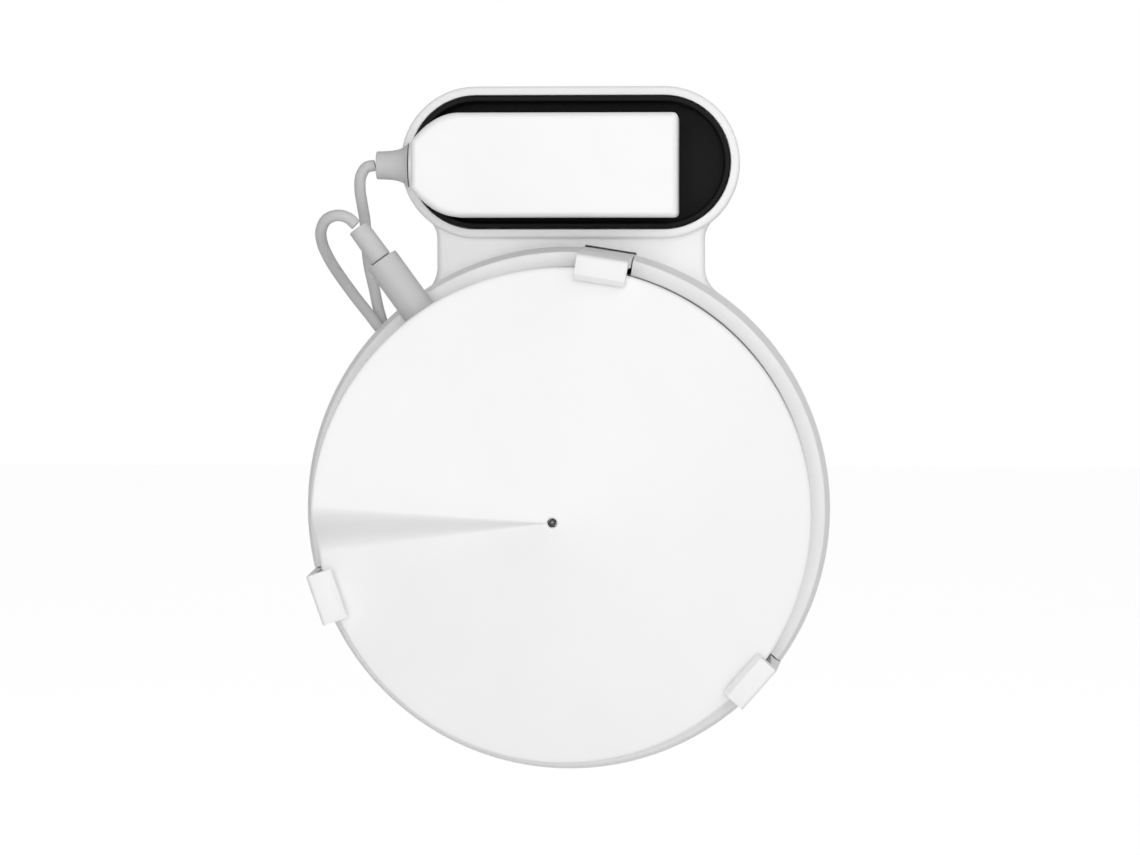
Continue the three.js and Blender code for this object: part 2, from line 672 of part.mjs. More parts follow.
function upperHousing() {
  const z = BACK_T + GAP;
  const outline = holderOutline(CUP_R, FRAME_R);
  const neck = toSolid(extruded(outline, z, NECK_Z));
  const frame = toSolid(extruded(stadium(FRAME_R, OVAL_HALF, 0, OVAL_Y), z, FRAME_Z));
  const opening = extruded(stadium(OVAL_R, OVAL_HALF, 0, OVAL_Y), z - 1, FRAME_Z + 1);
  const cup = cylinder(CUP_R + GAP, z - 1, FRAME_Z + 1, 0, 0, ROUND_SIDES);
  const pocketWall = NECK_HALF_W - HOUSING_T;
  const pocket = cut(
    toSolid(box(-pocketWall, pocketWall, CUP_R / 2, OVAL_Y, z - 1, NECK_Z - HOUSING_T)),
    extruded(stadium(OVAL_R + HOUSING_T, OVAL_HALF, 0, OVAL_Y), z - 2, NECK_Z),
    cylinder(CUP_R + HOUSING_T + GAP, z - 2, NECK_Z, 0, 0, ROUND_SIDES),
    clipPocket(HOUSING_T),
  );
  return cut(neck.add(frame), opening, cup, clipPocket()).subtract(pocket);
}

function outletTray() {
  const z = BACK_T + GAP;
  const body = toSolid(extruded(stadium(TRAY_R, OVAL_HALF, 0, OVAL_Y), z, FRAME_Z));
  const hollow = extruded(stadium(TRAY_R - TRAY_T, OVAL_HALF, 0, OVAL_Y), TRAY_FLOOR_TOP, FRAME_Z + 1);
  return cut(body, hollow, ...bladeSlots(z - 1, TRAY_FLOOR_TOP + 1, BLADE_SLOT_CLEAR));
}

function cableHub() {
  const z = BACK_T + GAP;
  const top = z + HUB_H;
  const flangeZ = top - HUB_FLANGE_T;
  return turned([
    [0, flangeZ - 0.4], [HUB_R - HUB_T, flangeZ - 0.4], [HUB_R - HUB_T, z], [HUB_R, z], [HUB_R, flangeZ],
    [HUB_R + HUB_FLANGE, flangeZ], [HUB_R + HUB_FLANGE, top], [0, top],
  ], 36);
}

// ---------- clips ----------
const CLIP_INNER_R = LID_R + CLIP_STANDOFF;
const CLIP_PIVOT_Z = BACK_T + GAP + CLIP_T / 2;

function clipArm() {
  const foot = CLIP_T / 2;
  const outer = CLIP_INNER_R + CLIP_T;
  // the lip's underside slopes at 45 degrees, a gap clear of the lid's chamfered rim
  const lipZ = RIM_Z + (LID_R - LID_EDGE) + GAP * Math.SQRT2 - CLIP_INNER_R;
  const tipR = LID_R - CLIP_OVERLAP;
  const tipZ = lipZ + (CLIP_INNER_R - tipR);
  const topZ = tipZ + CLIP_LIP_T;
  const shape = new THREE.Shape();
  shape.absarc(CLIP_INNER_R + foot, CLIP_PIVOT_Z, foot, Math.PI, 2 * Math.PI, false);
  shape.lineTo(outer, CUP_H - CUP_SLOPE_H);
  shape.lineTo(CLIP_INNER_R + CLIP_TOP_T, lipZ);
  shape.lineTo(CLIP_INNER_R + CLIP_TOP_T - 0.3, topZ - 1);
  shape.lineTo(CLIP_INNER_R + CLIP_TOP_T - 1.3, topZ);
  shape.lineTo(tipR + 0.4, topZ);
  shape.lineTo(tipR, topZ - 0.5);
  shape.lineTo(tipR, tipZ);
  shape.lineTo(CLIP_INNER_R, lipZ);
  return acrossRadius(shape, CLIP_W);
}

// ---------- power adapter ----------
function adapterOutline(inset) {
  const left = ADAPTER_LEFT + inset;
  const right = ADAPTER_RIGHT - inset;
  const half = ADAPTER_H / 2 - inset;
  const end = ADAPTER_END_H / 2 - inset * 0.5;
  const corner = Math.max(ADAPTER_CORNER_R - inset, 0.3);
  const y = ADAPTER_Y;
  const nose = left + ADAPTER_NOSE_L;
  const knee = left + ADAPTER_NOSE_L * 0.47;
  const shape = new THREE.Shape();
  shape.moveTo(left, y - end);
  shape.quadraticCurveTo(knee, y - half, nose, y - half);
  shape.absarc(right - corner, y - half + corner, corner, -Math.PI / 2, 0, false);
  shape.absarc(right - corner, y + half - corner, corner, 0, Math.PI / 2, false);
  shape.lineTo(nose, y + half);
  shape.quadraticCurveTo(knee, y + half, left, y + end);
  return shape;
}

function adapterFront() {
  const z = ADAPTER_MID_Z + GAP / 2;
  const top = ADAPTER_Z + ADAPTER_D;
  const hollow = extruded(adapterOutline(ADAPTER_T), z - 1, top - ADAPTER_T, 6);
  return cut(toSolid(extruded(adapterOutline(0), z, top, 6)), hollow);
}

function adapterRear() {
  const z = ADAPTER_Z;
  const top = ADAPTER_MID_Z - GAP / 2;
  const step = FRAME_Z + GAP;
  const inset = ADAPTER_BACK_INSET;
  const body = union(
    extruded(adapterOutline(inset), z, step + 0.1, 6),
    extruded(adapterOutline(0), step, top, 6),
  );
  const hollow = extruded(adapterOutline(inset + ADAPTER_T), z + ADAPTER_T, top + 1, 6);
  return cut(body, hollow, ...bladeSlots(z - 1, z + ADAPTER_T + 1, GAP));
}

function adapterBlade(side) {
  const x = BLADE_X + side * BLADE_PITCH / 2;
  const y = ADAPTER_Y;
  const tip = ADAPTER_Z - BLADE_L;
  const shape = new THREE.Shape();
  const half = BLADE_W / 2;
  shape.moveTo(-half, ADAPTER_Z + ADAPTER_T + BLADE_TAIL);
  shape.lineTo(-half, tip + 1.5);
  shape.lineTo(-half + 1.5, tip);
  shape.lineTo(half - 1.5, tip);
  shape.lineTo(half, tip + 1.5);
  shape.lineTo(half, ADAPTER_Z + ADAPTER_T + BLADE_TAIL);
  return acrossRadius(shape, BLADE_T).rotateZ(Math.PI / 2).translate(x, y, 0);
}

const ADAPTER_BOARD_Z = ADAPTER_Z + ADAPTER_T + BLADE_TAIL + GAP;
const ADAPTER_BOARD_TOP = ADAPTER_BOARD_Z + BOARD_T;
const PART_CEILING_Z = ADAPTER_Z + ADAPTER_D - ADAPTER_T - 2 * GAP;

function adapterBoard() {
  const halfH = ADAPTER_H / 2 - ADAPTER_BACK_INSET - ADAPTER_T - GAP;
  return box(ADAPTER_LEFT + ADAPTER_NOSE_L + 2, ADAPTER_RIGHT - ADAPTER_BACK_INSET - ADAPTER_T - GAP,
    ADAPTER_Y - halfH, ADAPTER_Y + halfH, ADAPTER_BOARD_Z, ADAPTER_BOARD_TOP);
}

function transformer() {
  const z = ADAPTER_BOARD_TOP + GAP;
  const y = ADAPTER_Y;
  const { x, d } = TRANSFORMER;
  const halfW = TRANSFORMER.w / 2;
  const halfH = TRANSFORMER.h / 2;
  const core = box(x - halfW, x + halfW, y - halfH, y + halfH, z, z + d);
  const windingW = halfW - WINDING_INSET;
  const windingH = halfH + WINDING_PROUD;
  const winding = box(x - windingW, x + windingW, y - windingH, y + windingH,
    z + WINDING_MARGIN, z + d - WINDING_MARGIN);
  return union(core, winding);
}

function capacitor({ x, y, r }) {
  const z = ADAPTER_BOARD_TOP + GAP;
  return cylinder(r, z, Math.min(z + CAN_L, PART_CEILING_Z), x, ADAPTER_Y + y, 20);
}

// pieces on the adapter's lead lie along -x, so they are turned about z and laid over
function alongLead(points, from) {
  return turned(points, 24).rotateY(-Math.PI / 2).scale(1, 1, BOOT_FLATTEN)
    .translate(from, ADAPTER_Y + CABLE_EXIT_LIFT, CABLE_EXIT_Z);
}

const FLANGE_X = ADAPTER_LEFT - GAP;
const BOOT_X = FLANGE_X - FLANGE_T - GAP;

function adapterFlange() {
  return alongLead([[0, 0], [FLANGE_R, 0], [FLANGE_R, FLANGE_T], [0, FLANGE_T]], FLANGE_X);
}

function adapterBoot() {
  return alongLead([
    [0, 0], [BOOT_BASE_R, 0], [BOOT_NECK_R, 1.9], [BOOT_TIP_R, BOOT_L], [0, BOOT_L],
  ], BOOT_X);
}

// ---------- lead ----------
function cord(points, steps) {
  const path = new THREE.CatmullRomCurve3(points.map((p) => new THREE.Vector3(...p)), false, 'centripetal');
  const section = new THREE.Shape();
  for (let i = 0; i < 8; i += 1) {
    section[i ? 'lineTo' : 'moveTo'](...polar(CORD_R, i * 45));
  }
  return new THREE.ExtrudeGeometry(section, { steps, extrudePath: path, bevelEnabled: false });
}

// from the adapter's boot down behind the plug, through the notch, to the lower layer of the coil
const ADAPTER_RUN = [
  [-48.1, 85.1, 18], [-50.3, 84.6, 18], [-51.7, 82.4, 17.8], [-52, 79, 17], [-51.6, 75.3, 15.6],
  [-51.2, 71.4, 13.6], [-50.8, 61.1, 9.6], [-49.6, 54.1, 7], [-48.7, 49, 5.5], [-47.2, 44.2, 5.05],
  [-44.4, 38.2, 5.05], [-41, 31, 5.05], [-37.6, 23.5, 5.05], [-34.4, 15, 5.05], [-32.2, 7, 5.05],
  [-31.35, -1, 5.05],
];
// from the upper layer of the coil through the notch and up the left side of its loop
const LOOP_RUN = [
  [6, 30.9, 8.35], [-3, 31.4, 8.35], [-12, 32.8, 8.35], [-21, 34.6, 8.35], [-30, 36.6, 8.35],
  [-38, 38.6, 8.35], [-44.2, 41, 8.35], [-48.2, 44.6, 8.4], [-50.6, 47.9, 9.7], [-53.4, 51.9, 12.8],
  [-55.9, 55.9, 16.5],
];
// from there round the top of the loop into the plug's strain relief
const PLUG_RUN = [
  [-56.1, 56.2, 16.8], [-58.7, 61.1, 22], [-60.2, 65.8, 27.2], [-60, 69, 30.6], [-58.4, 71.5, 32.8],
  [-55.6, 72.5, 33.9], [-53, 71.9, 34], [-51.05, 70.2, 34],
];

function cordCoil() {
  const height = COIL_LAYERS * CORD_PITCH;
  return turned([
    [COIL_INNER_R, COIL_Z], [COIL_OUTER_R, COIL_Z], [COIL_OUTER_R, COIL_Z + height],
    [COIL_INNER_R, COIL_Z + height],
  ], 48);
}

// ---------- the assembly ----------
place('holder_body', holderBody(), HOLDER_WHITE);
place('upper_housing', upperHousing(), HOLDER_WHITE);
place('outlet_tray', outletTray(), BLACK);
place('cable_hub', cableHub(), HOLDER_WHITE);
for (const [side, angle] of Object.entries(CLIPS)) {
  place(`clip_arm_${side}`, clipArm(), HOLDER_WHITE, onRadius(angle));
}

place('router_lid', lid(), WHITE);
place('router_lower_shell', lowerShell(), WHITE);
place('main_board', mainBoard(), BOARD_GREEN);
place('processor_shield', shieldCan(PROCESSOR), STEEL);
place('radio_shield', shieldCan(RADIO), STEEL);
place('processor_chip', chip(PROCESSOR), CHIP);
place('radio_chip', chip(RADIO), CHIP);
place('heat_spreader', heatSpreader(), ALUMINIUM);
place('status_led', chip({ x: LIGHT_X, y: LIGHT_Y, w: LED_W, h: LED_H }), CLEAR);
place('light_pipe', lightPipe(), CLEAR);
ANTENNA_ANGLES.forEach((angle, i) => place(`antenna_${i + 1}`, antenna(), BRASS, onRadius(angle)));
SCREW_ANGLES.forEach((angle, i) => {
  place(`case_screw_${i + 1}`, screw(angle), STEEL);
  place(`rubber_foot_${i + 1}`, foot(angle), RUBBER);
});
place('port_bezel', portBezel(), PORT_GREY);
LAN_ANGLES.forEach((angle, i) => place(`lan_jack_${i + 1}`, lanJack(), STEEL, onRadius(angle)));
place('reset_button', resetButton(), PORT_GREY, onRadius(RESET_ANGLE));
place('reset_switch', resetSwitch(), CHIP, onRadius(RESET_ANGLE));

const powerRadius = onRadius(POWER_ANGLE);
place('power_socket', powerSocket(), CHIP, powerRadius);
place('plug_barrel', plugBarrel().translate(0, 0, PLUG_Z), BRASS, powerRadius);
place('plug_body', plugBody().translate(0, 0, PLUG_Z), CORD_GREY, powerRadius);
place('plug_strain_relief', plugRelief().translate(0, 0, PLUG_Z), CORD_GREY, powerRadius);

place('adapter_front_case', adapterFront(), WHITE);
place('adapter_rear_case', adapterRear(), WHITE);
place('adapter_blade_left', adapterBlade(-1), BRASS);
place('adapter_blade_right', adapterBlade(1), BRASS);
place('adapter_board', adapterBoard(), BOARD_GREEN);
place('adapter_transformer', transformer(), WINDING);
place('adapter_input_capacitor', capacitor(INPUT_CAN), CAN_BLUE);
place('adapter_output_capacitor', capacitor(OUTPUT_CAN), CAN_BLUE);
place('adapter_flange', adapterFlange(), WHITE);
place('adapter_strain_relief', adapterBoot(), CORD_GREY);

place('cord_adapter_run', cord(ADAPTER_RUN, 24), CORD_GREY);
place('cord_coil', cordCoil(), CORD_GREY);
place('cord_loop_run', cord(LOOP_RUN, 16), CORD_GREY);
place('cord_plug_run', cord(PLUG_RUN, 14), CORD_GREY);

front.rotation.x = Math.PI / 2;

const router = new THREE.Group();
router.name = 'mesh_router_in_wall_holder';
router.add(front);

export default router;
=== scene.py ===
import math

import bmesh
import bpy
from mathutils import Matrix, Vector

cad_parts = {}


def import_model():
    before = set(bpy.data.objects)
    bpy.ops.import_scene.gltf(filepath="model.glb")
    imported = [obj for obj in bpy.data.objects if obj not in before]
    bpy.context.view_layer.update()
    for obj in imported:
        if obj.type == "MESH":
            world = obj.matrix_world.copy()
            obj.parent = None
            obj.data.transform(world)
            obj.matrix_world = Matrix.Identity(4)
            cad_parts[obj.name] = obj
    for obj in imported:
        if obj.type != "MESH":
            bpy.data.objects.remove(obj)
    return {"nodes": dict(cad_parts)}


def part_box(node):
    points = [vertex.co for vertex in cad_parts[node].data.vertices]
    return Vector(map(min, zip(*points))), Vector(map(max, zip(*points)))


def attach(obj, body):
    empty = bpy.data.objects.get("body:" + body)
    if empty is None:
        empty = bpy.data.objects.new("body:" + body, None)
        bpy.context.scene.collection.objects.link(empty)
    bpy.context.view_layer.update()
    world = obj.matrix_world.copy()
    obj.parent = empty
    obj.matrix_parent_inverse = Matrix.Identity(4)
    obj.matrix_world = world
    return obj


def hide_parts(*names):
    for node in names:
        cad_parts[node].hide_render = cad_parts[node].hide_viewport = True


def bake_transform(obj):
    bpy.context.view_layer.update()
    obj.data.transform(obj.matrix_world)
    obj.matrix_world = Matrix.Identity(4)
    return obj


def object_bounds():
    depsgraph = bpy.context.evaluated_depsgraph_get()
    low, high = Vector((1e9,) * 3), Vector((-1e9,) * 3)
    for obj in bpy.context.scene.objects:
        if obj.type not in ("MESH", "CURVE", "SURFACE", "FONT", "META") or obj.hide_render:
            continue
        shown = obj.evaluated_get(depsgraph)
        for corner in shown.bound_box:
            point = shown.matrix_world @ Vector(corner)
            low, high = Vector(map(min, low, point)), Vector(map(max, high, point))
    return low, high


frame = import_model()
CAD_BOX = [list(corner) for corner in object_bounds()]
MM = 0.001


def world(x, y, z):
    return Vector((x, -z, y)) * MM


def seen(node):
    """A node's lowest and highest corner, in millimetres as seen from the front."""
    low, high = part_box(node)
    return Vector((low[0], low[2], -high[1])) / MM, Vector((high[0], high[2], -low[1])) / MM


# ---------- sizes ----------
# GAP is left between pieces that meet.
GAP = 0.3

SHELL_LOW, SHELL_HIGH = seen("router_lower_shell")
BACK_Z = SHELL_LOW.z
LID_R = seen("router_lid")[1].x
RIM_ABOVE_BACK = 34.0
RIM_Z = BACK_Z + RIM_ABOVE_BACK
SKIRT_H = 3.4
LID_T = 2.0
LID_DOME = 6.5
LID_ROUND = 0.8
SKIRT_LIFT = 0.5
LIGHT = Vector((-2.05, -1.1))
LIGHT_HOLE_R = 1.15
VISOR_H = 8.0
VISOR_START, VISOR_FULL = 95, 172
FOLD_START, FOLD_END, FOLD_DIP, DIP_END = 176, 188, 1.5, 240

BEZEL_LOW = seen("port_bezel")[0]
BEZEL_R, BEZEL_INNER_R = LID_R - 2.6, LID_R - 4.4
BEZEL_START, BEZEL_END = 113, 180
BROW_START, BROW_END = VISOR_START + 1, FOLD_END - 1
SCREW_RING_R = 42.0
SCREW_ANGLES = (20, 100, 200, 280)
REST_ANGLES = (20, 200, 280)
REST_R, REST_TOP = 4.0, 11.2
ON_BOARD_Z = 25.9
BOSS_R, BOSS_BORE_R, BOSS_RISE, BOSS_BORE_DROP = 3.2, 1.6, 0.3, 2.4
FOOT_WELL_R, FOOT_WELL_DEPTH = 4.9, 1.2
SCREW_WELL_R, SCREW_WELL_DEPTH = 2.9, 3.8
LAN_ANGLES = (145, 169)
LAN_FRONT = 54.75
LAN_W, LAN_H, LAN_L = 15.6, 13.1, 13.6
LAN_Z = ON_BOARD_Z
LAN_WALL = 0.35
MOUTH_W, MOUTH_H, MOUTH_L = 11.8, 8.2, 11.5
KEY_HALF_W, KEY_H = 3.1, 1.6
CONTACTS, CONTACT_PITCH, CONTACT_HALF_W, CONTACT_HALF_T = 8, 1.02, 0.2, 0.12
MOUTH_Z = LAN_Z + 2.6
POWER_ANGLE, PLUG_Z, PLUG_HOLE_R = 126, 34.0, 3.35
RESET_ANGLE, RESET_Z, RESET_R, RESET_L = 117.5, 28.5, 1.2, 6.2
LENS_R, LENS_TIP_R, LENS_DOME = 1.4, 0.85, 0.5

HOLDER_HIGH = seen("holder_body")[1]
CUP_R, CUP_H = HOLDER_HIGH.x, HOLDER_HIGH.z
CUP_INNER_R = LID_R - 0.1
CUP_RIM_R = LID_R + 3.6
CUP_SLOPE_H = 5.0
NOTCH_ANGLE, NOTCH_HALF, NOTCH_H = 137, 8.5, 8.4
PLATE_T = 3.0
HOUSING_LOW, HOUSING_HIGH = seen("upper_housing")
FRAME_R, OVAL_R, OVAL_HALF = 18.9, 16.7, 23.5
OVAL_Y = HOUSING_HIGH.y - FRAME_R
FRAME_Z, NECK_Z = HOUSING_HIGH.z, 9.0
NECK_HALF_W, FILLET_CUP, FILLET_TOP = 33.6, 8.0, 6.0
NECK_ROUND = 1.4
TRAY_LOW, TRAY_HIGH = seen("outlet_tray")
TRAY_R = OVAL_R - GAP
TRAY_WALL = 1.2
TRAY_FLOOR = TRAY_LOW.z + 2.0
CLIPS = {"top": 81, "left": 199, "right": 319}
CLIP_W, CLIP_INNER_R, CLIP_T = 12.4, 61.3, 3.4
SLOT_HALF = 6.5
CLIP_LEAN = 0.115

ADAPTER_LOW, ADAPTER_HIGH = seen("adapter_front_case")
REAR_LOW, REAR_HIGH = seen("adapter_rear_case")
ADAPTER_Y = (ADAPTER_LOW.y + ADAPTER_HIGH.y) / 2
NOSE_L, END_HALF, KNEE_SHARE = 11.8, 5.8, 0.47
ADAPTER_CORNER, ADAPTER_WALL = 1.2, 1.8
BOOT_LOW, BOOT_HIGH = seen("adapter_strain_relief")
LEAD_Y, LEAD_Z = ADAPTER_Y + 0.2, (BOOT_LOW.z + BOOT_HIGH.z) / 2
BLADES = (-11.35, 1.35)
BLADE_HALF_T, BLADE_POINT, BLADE_HOLE_R, BLADE_HOLE_Z = 0.75, 1.5, 1.6, 4

CORD_HALF_W, CORD_HALF_T = 1.42, 1.2
COIL_INNER_R, COIL_PITCH = 19.55, 2.9
COIL_LAYERS = (5.05, 7.95)
COIL_START_R = 31.35
COIL_END_R, COIL_END_Z = 31.48, 8.35


# ---------- camera ----------
def camera():
    data = bpy.data.cameras.new("camera")
    data.lens = 105
    data.sensor_width = 36
    eye = bpy.data.objects.new("camera", data)
    bpy.context.scene.collection.objects.link(eye)
    turn, tilt = math.radians(3.1), math.radians(2.9)
    level = math.cos(tilt)
    ahead = Vector((-math.sin(turn) * level, math.cos(turn) * level, -math.sin(tilt)))
    eye.location = (0.04505, -0.84262, 0.06185)
    eye.rotation_mode = "QUATERNION"
    eye.rotation_quaternion = ahead.to_track_quat("-Z", "Y")
    bpy.context.scene.camera = eye


camera()


# ---------- meshes ----------
def rings(loops, closed=False):
    """Points and faces of a skin over loops of as many points each, capped unless it is closed."""
    count = len(loops[0])
    points = [p for ring in loops for p in ring]
    faces = []
    last = len(loops) if closed else len(loops) - 1
    for i in range(last):
        a, b = i * count, (i + 1) % len(loops) * count
        for j in range(count):
            k = (j + 1) % count
            faces.append((a + j, a + k, b + k, b + j))
    if not closed:
        faces.append(tuple(reversed(range(count))))
        faces.append(tuple(range(last * count, len(loops) * count)))
    return points, faces


def build(name, *skins):
    """One mesh object of closed skins, each with its faces turned out."""
    whole = bmesh.new()
    for points, faces in skins:
        part = bmesh.new()
        corners = [part.verts.new(world(*p)) for p in points]
        for face in faces:
            part.faces.new([corners[i] for i in face])
        bmesh.ops.remove_doubles(part, verts=part.verts, dist=1e-7)
        bmesh.ops.dissolve_degenerate(part, edges=part.edges, dist=1e-8)
        bmesh.ops.recalc_face_normals(part, faces=part.faces)
        mesh = bpy.data.meshes.new("skin")
        part.to_mesh(mesh)
        part.free()
        whole.from_mesh(mesh)
        bpy.data.meshes.remove(mesh)
    mesh = bpy.data.meshes.new(name)
    whole.to_mesh(mesh)
    whole.free()
    obj = bpy.data.objects.new(name, mesh)
    bpy.context.scene.collection.objects.link(obj)
    return obj


def settle(obj):
    """Applies the object's modifiers to its mesh."""
    bpy.context.view_layer.update()
    seen_mesh = obj.evaluated_get(bpy.context.evaluated_depsgraph_get())
    mesh = bpy.data.meshes.new_from_object(seen_mesh)
    obj.modifiers.clear()
    old, obj.data = obj.data, mesh
    bpy.data.meshes.remove(old)


def cut(obj, *skins):
    """Takes each skin's space out of the object."""
    for skin in skins:
        tool = build("tool", skin)
        modifier = obj.modifiers.new("cut", "BOOLEAN")
        modifier.operation = "DIFFERENCE"
        modifier.solver = "EXACT"
        modifier.object = tool
        settle(obj)
        bpy.data.objects.remove(tool)


def bevel(obj, width, segments, angle):
    """Eases the edges sharper than an angle in degrees."""
    modifier = obj.modifiers.new("bevel", "BEVEL")
    modifier.width = width * MM
    modifier.segments = segments
    modifier.limit_method = "ANGLE"
    modifier.angle_limit = math.radians(angle)
    settle(obj)


def piece(obj, material, body, slot, *stands_for, sharp=32):
    """Shades the object, gives it its material and body, and hides the nodes it stands for."""
    for polygon in obj.data.polygons:
        polygon.use_smooth = True
    obj.data.set_sharp_from_angle(angle=math.radians(sharp))
    obj.data.materials.clear()
    obj.data.materials.append(material)
    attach(obj, body)
    if stands_for:
        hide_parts(*stands_for)
    return obj


def arc(u, v, r, start, end, steps=5):
    """Points on an arc in a plane, angles in degrees."""
    turns = [math.radians(start + (end - start) * i / steps) for i in range(steps + 1)]
    return [(u + r * math.cos(a), v + r * math.sin(a)) for a in turns]


def lathe(profile, x=0.0, y=0.0, sides=96, closed=False):
    """A skin turned about z from (radius, height) points."""
    turns = [math.tau * j / sides for j in range(sides)]
    loops = [[(x + r * math.cos(a), y + r * math.sin(a), z) for a in turns] for r, z in profile]
    return rings(loops, closed=closed)


def on_radius(skin, angle):
    """Turns a skin whose +x points out along a radius to that radius."""
    c, s = math.cos(math.radians(angle)), math.sin(math.radians(angle))
    points, faces = skin
    return [(x * c - y * s, x * s + y * c, z) for x, y, z in points], faces


def along_radius(profile, z, sides=48, closed=False):
    """A skin turned about a radius at height z, from (radius, distance) points."""
    points, faces = lathe(profile, sides=sides, closed=closed)
    return [(d, a, z + b) for a, b, d in points], faces


def block(x0, x1, y0, y1, z0, z1):
    loop = ((x0, y0), (x1, y0), (x1, y1), (x0, y1))
    return rings([[(x, y, z) for x, y in loop] for z in (z0, z1)])


def prism(outline, z0, z1):
    return rings([[(x, y, z) for x, y in outline] for z in (z0, z1)])


def ring_sector(inner, outer, start, end, z0, z1, steps=90):
    """A slab between two radii and two angles."""
    return prism(arc(0, 0, outer, start, end, steps) + arc(0, 0, inner, end, start, steps), z0, z1)


def stadium(r):
    """The oval of the tray and its frame, at a radius of its round ends."""
    return arc(OVAL_HALF, OVAL_Y, r, -90, 90, 30) + arc(-OVAL_HALF, OVAL_Y, r, 90, 270, 30)


def stack(outline, profile):
    """A skin through an outline at each (inset, height) of the profile."""
    return rings([[(x, y, z) for x, y in outline(inset)] for inset, z in profile])


def screw_place(angle):
    """The point on the screw ring at an angle in degrees."""
    turn = math.radians(angle)
    return SCREW_RING_R * math.cos(turn), SCREW_RING_R * math.sin(turn)


def edge_up(top, r, support=0.25, steps=5):
    """(inset, height) points of a rounded edge below a flat top, with one loop on the flat."""
    return [(r - a, b) for a, b in arc(0, top - r, r, 0, 90, steps)] + [(r + support, top)]


def edge_down(low, r):
    """The same for a rounded edge above a flat bottom, from the flat up."""
    return [(r + 0.25, low)] + [(r - a, b) for a, b in arc(0, low + r, r, -90, 0, 4)]


# ---------- materials ----------
def surface(name, colour, shade, roughness, grain, relief, metallic=0.0, specular=0.5, cloud=45.0,
            rough_spread=0.08, coat=0.0):
    """A moulded or plated surface: its colour drifts slightly, and a fine grain roughens it."""
    material = bpy.data.materials.new(name)
    material.use_nodes = True
    nodes, links = material.node_tree.nodes, material.node_tree.links
    shader = nodes["Principled BSDF"]
    shader.inputs["Metallic"].default_value = metallic
    shader.inputs["Specular IOR Level"].default_value = specular
    shader.inputs["Coat Weight"].default_value = coat
    place = nodes.new("ShaderNodeTexCoord")
    drift = nodes.new("ShaderNodeTexNoise")
    drift.inputs["Scale"].default_value = cloud
    drift.inputs["Detail"].default_value = 4.0
    links.new(place.outputs["Object"], drift.inputs["Vector"])
    tint = nodes.new("ShaderNodeValToRGB")
    tint.color_ramp.elements[0].position = 0.3
    tint.color_ramp.elements[0].color = (*shade, 1)
    tint.color_ramp.elements[1].position = 0.7
    tint.color_ramp.elements[1].color = (*colour, 1)
    links.new(drift.outputs["Fac"], tint.inputs["Fac"])
    links.new(tint.outputs["Color"], shader.inputs["Base Color"])
    speck = nodes.new("ShaderNodeTexNoise")
    speck.inputs["Scale"].default_value = grain
    speck.inputs["Detail"].default_value = 3.0
    links.new(place.outputs["Object"], speck.inputs["Vector"])
    spread = nodes.new("ShaderNodeMapRange")
    spread.inputs["To Min"].default_value = roughness - rough_spread
    spread.inputs["To Max"].default_value = roughness + rough_spread
    links.new(speck.outputs["Fac"], spread.inputs["Value"])
    links.new(spread.outputs["Result"], shader.inputs["Roughness"])
    bump = nodes.new("ShaderNodeBump")
    bump.inputs["Strength"].default_value = relief
    bump.inputs["Distance"].default_value = 0.00006
    links.new(speck.outputs["Fac"], bump.inputs["Height"])
    links.new(bump.outputs["Normal"], shader.inputs["Normal"])
    return material


def grey(level):
    """Linear colour of a neutral grey written as an 8-bit level."""
    v = level / 255
    return (((v + 0.055) / 1.055) ** 2.4,) * 3


HOLDER = surface("holder_plastic", grey(243), grey(240), 0.5, 3200, 0.25)
TRAY = surface("tray_black", grey(27), grey(24), 0.6, 2600, 0.35, specular=0.08)
ROUTER = surface("router_white", grey(242), grey(240), 0.42, 4200, 0.16)
PORTS = surface("port_grey", grey(214), grey(208), 0.5, 3000, 0.3)
ADAPTER = surface("adapter_white", grey(242), grey(239), 0.36, 5200, 0.1)
LEAD = surface("cord_grey", grey(206), grey(198), 0.58, 3600, 0.3, specular=0.35)
BOARD = surface("board_green", (0.03, 0.16, 0.08), (0.012, 0.08, 0.04), 0.35, 900, 0.5, cloud=500)
STEEL = surface("shield_steel", grey(196), grey(182), 0.34, 1500, 0.25, metallic=1.0)
CHIP = surface("chip_black", grey(44), grey(36), 0.6, 2500, 0.4, specular=0.3)
SPREADER = surface("spreader_aluminium", grey(205), grey(190), 0.42, 1800, 0.5, metallic=1.0)
# Lens colour: its dark grey is painted shade, standing for the darkness inside the lid's light hole; the
# glossy coat is real.
SHADE_PAINTED_LENS = surface("clear_lens", grey(60), grey(40), 0.12, 2000, 0.05, coat=0.6)
BRASS = surface("contact_brass", (0.72, 0.53, 0.22), (0.69, 0.5, 0.2), 0.3, 1500, 0.04, metallic=1.0,
                rough_spread=0.02)
RUBBER = surface("foot_rubber", grey(148), grey(132), 0.85, 2400, 0.6, specular=0.2)
WINDING = surface("winding_yellow", (0.6, 0.38, 0.05), (0.45, 0.27, 0.03), 0.6, 700, 0.6)
CAN = surface("capacitor_blue", (0.03, 0.06, 0.16), (0.02, 0.04, 0.11), 0.3, 1200, 0.15)

INNER = {
    "main_board": BOARD, "processor_shield": STEEL, "radio_shield": STEEL, "processor_chip": CHIP,
    "radio_chip": CHIP, "heat_spreader": SPREADER, "status_led": SHADE_PAINTED_LENS, "antenna_1": BRASS,
    "antenna_2": BRASS, "antenna_3": BRASS, "antenna_4": BRASS, "reset_switch": CHIP,
    "power_socket": CHIP, "adapter_board": BOARD, "adapter_transformer": WINDING,
    "adapter_input_capacitor": CAN, "adapter_output_capacitor": CAN,
}
for number in range(1, 5):
    INNER[f"case_screw_{number}"] = STEEL
    INNER[f"rubber_foot_{number}"] = RUBBER


def finish_inner():
    for node, material in INNER.items():
        for material_slot in frame["nodes"][node].material_slots:
            material_slot.material = material


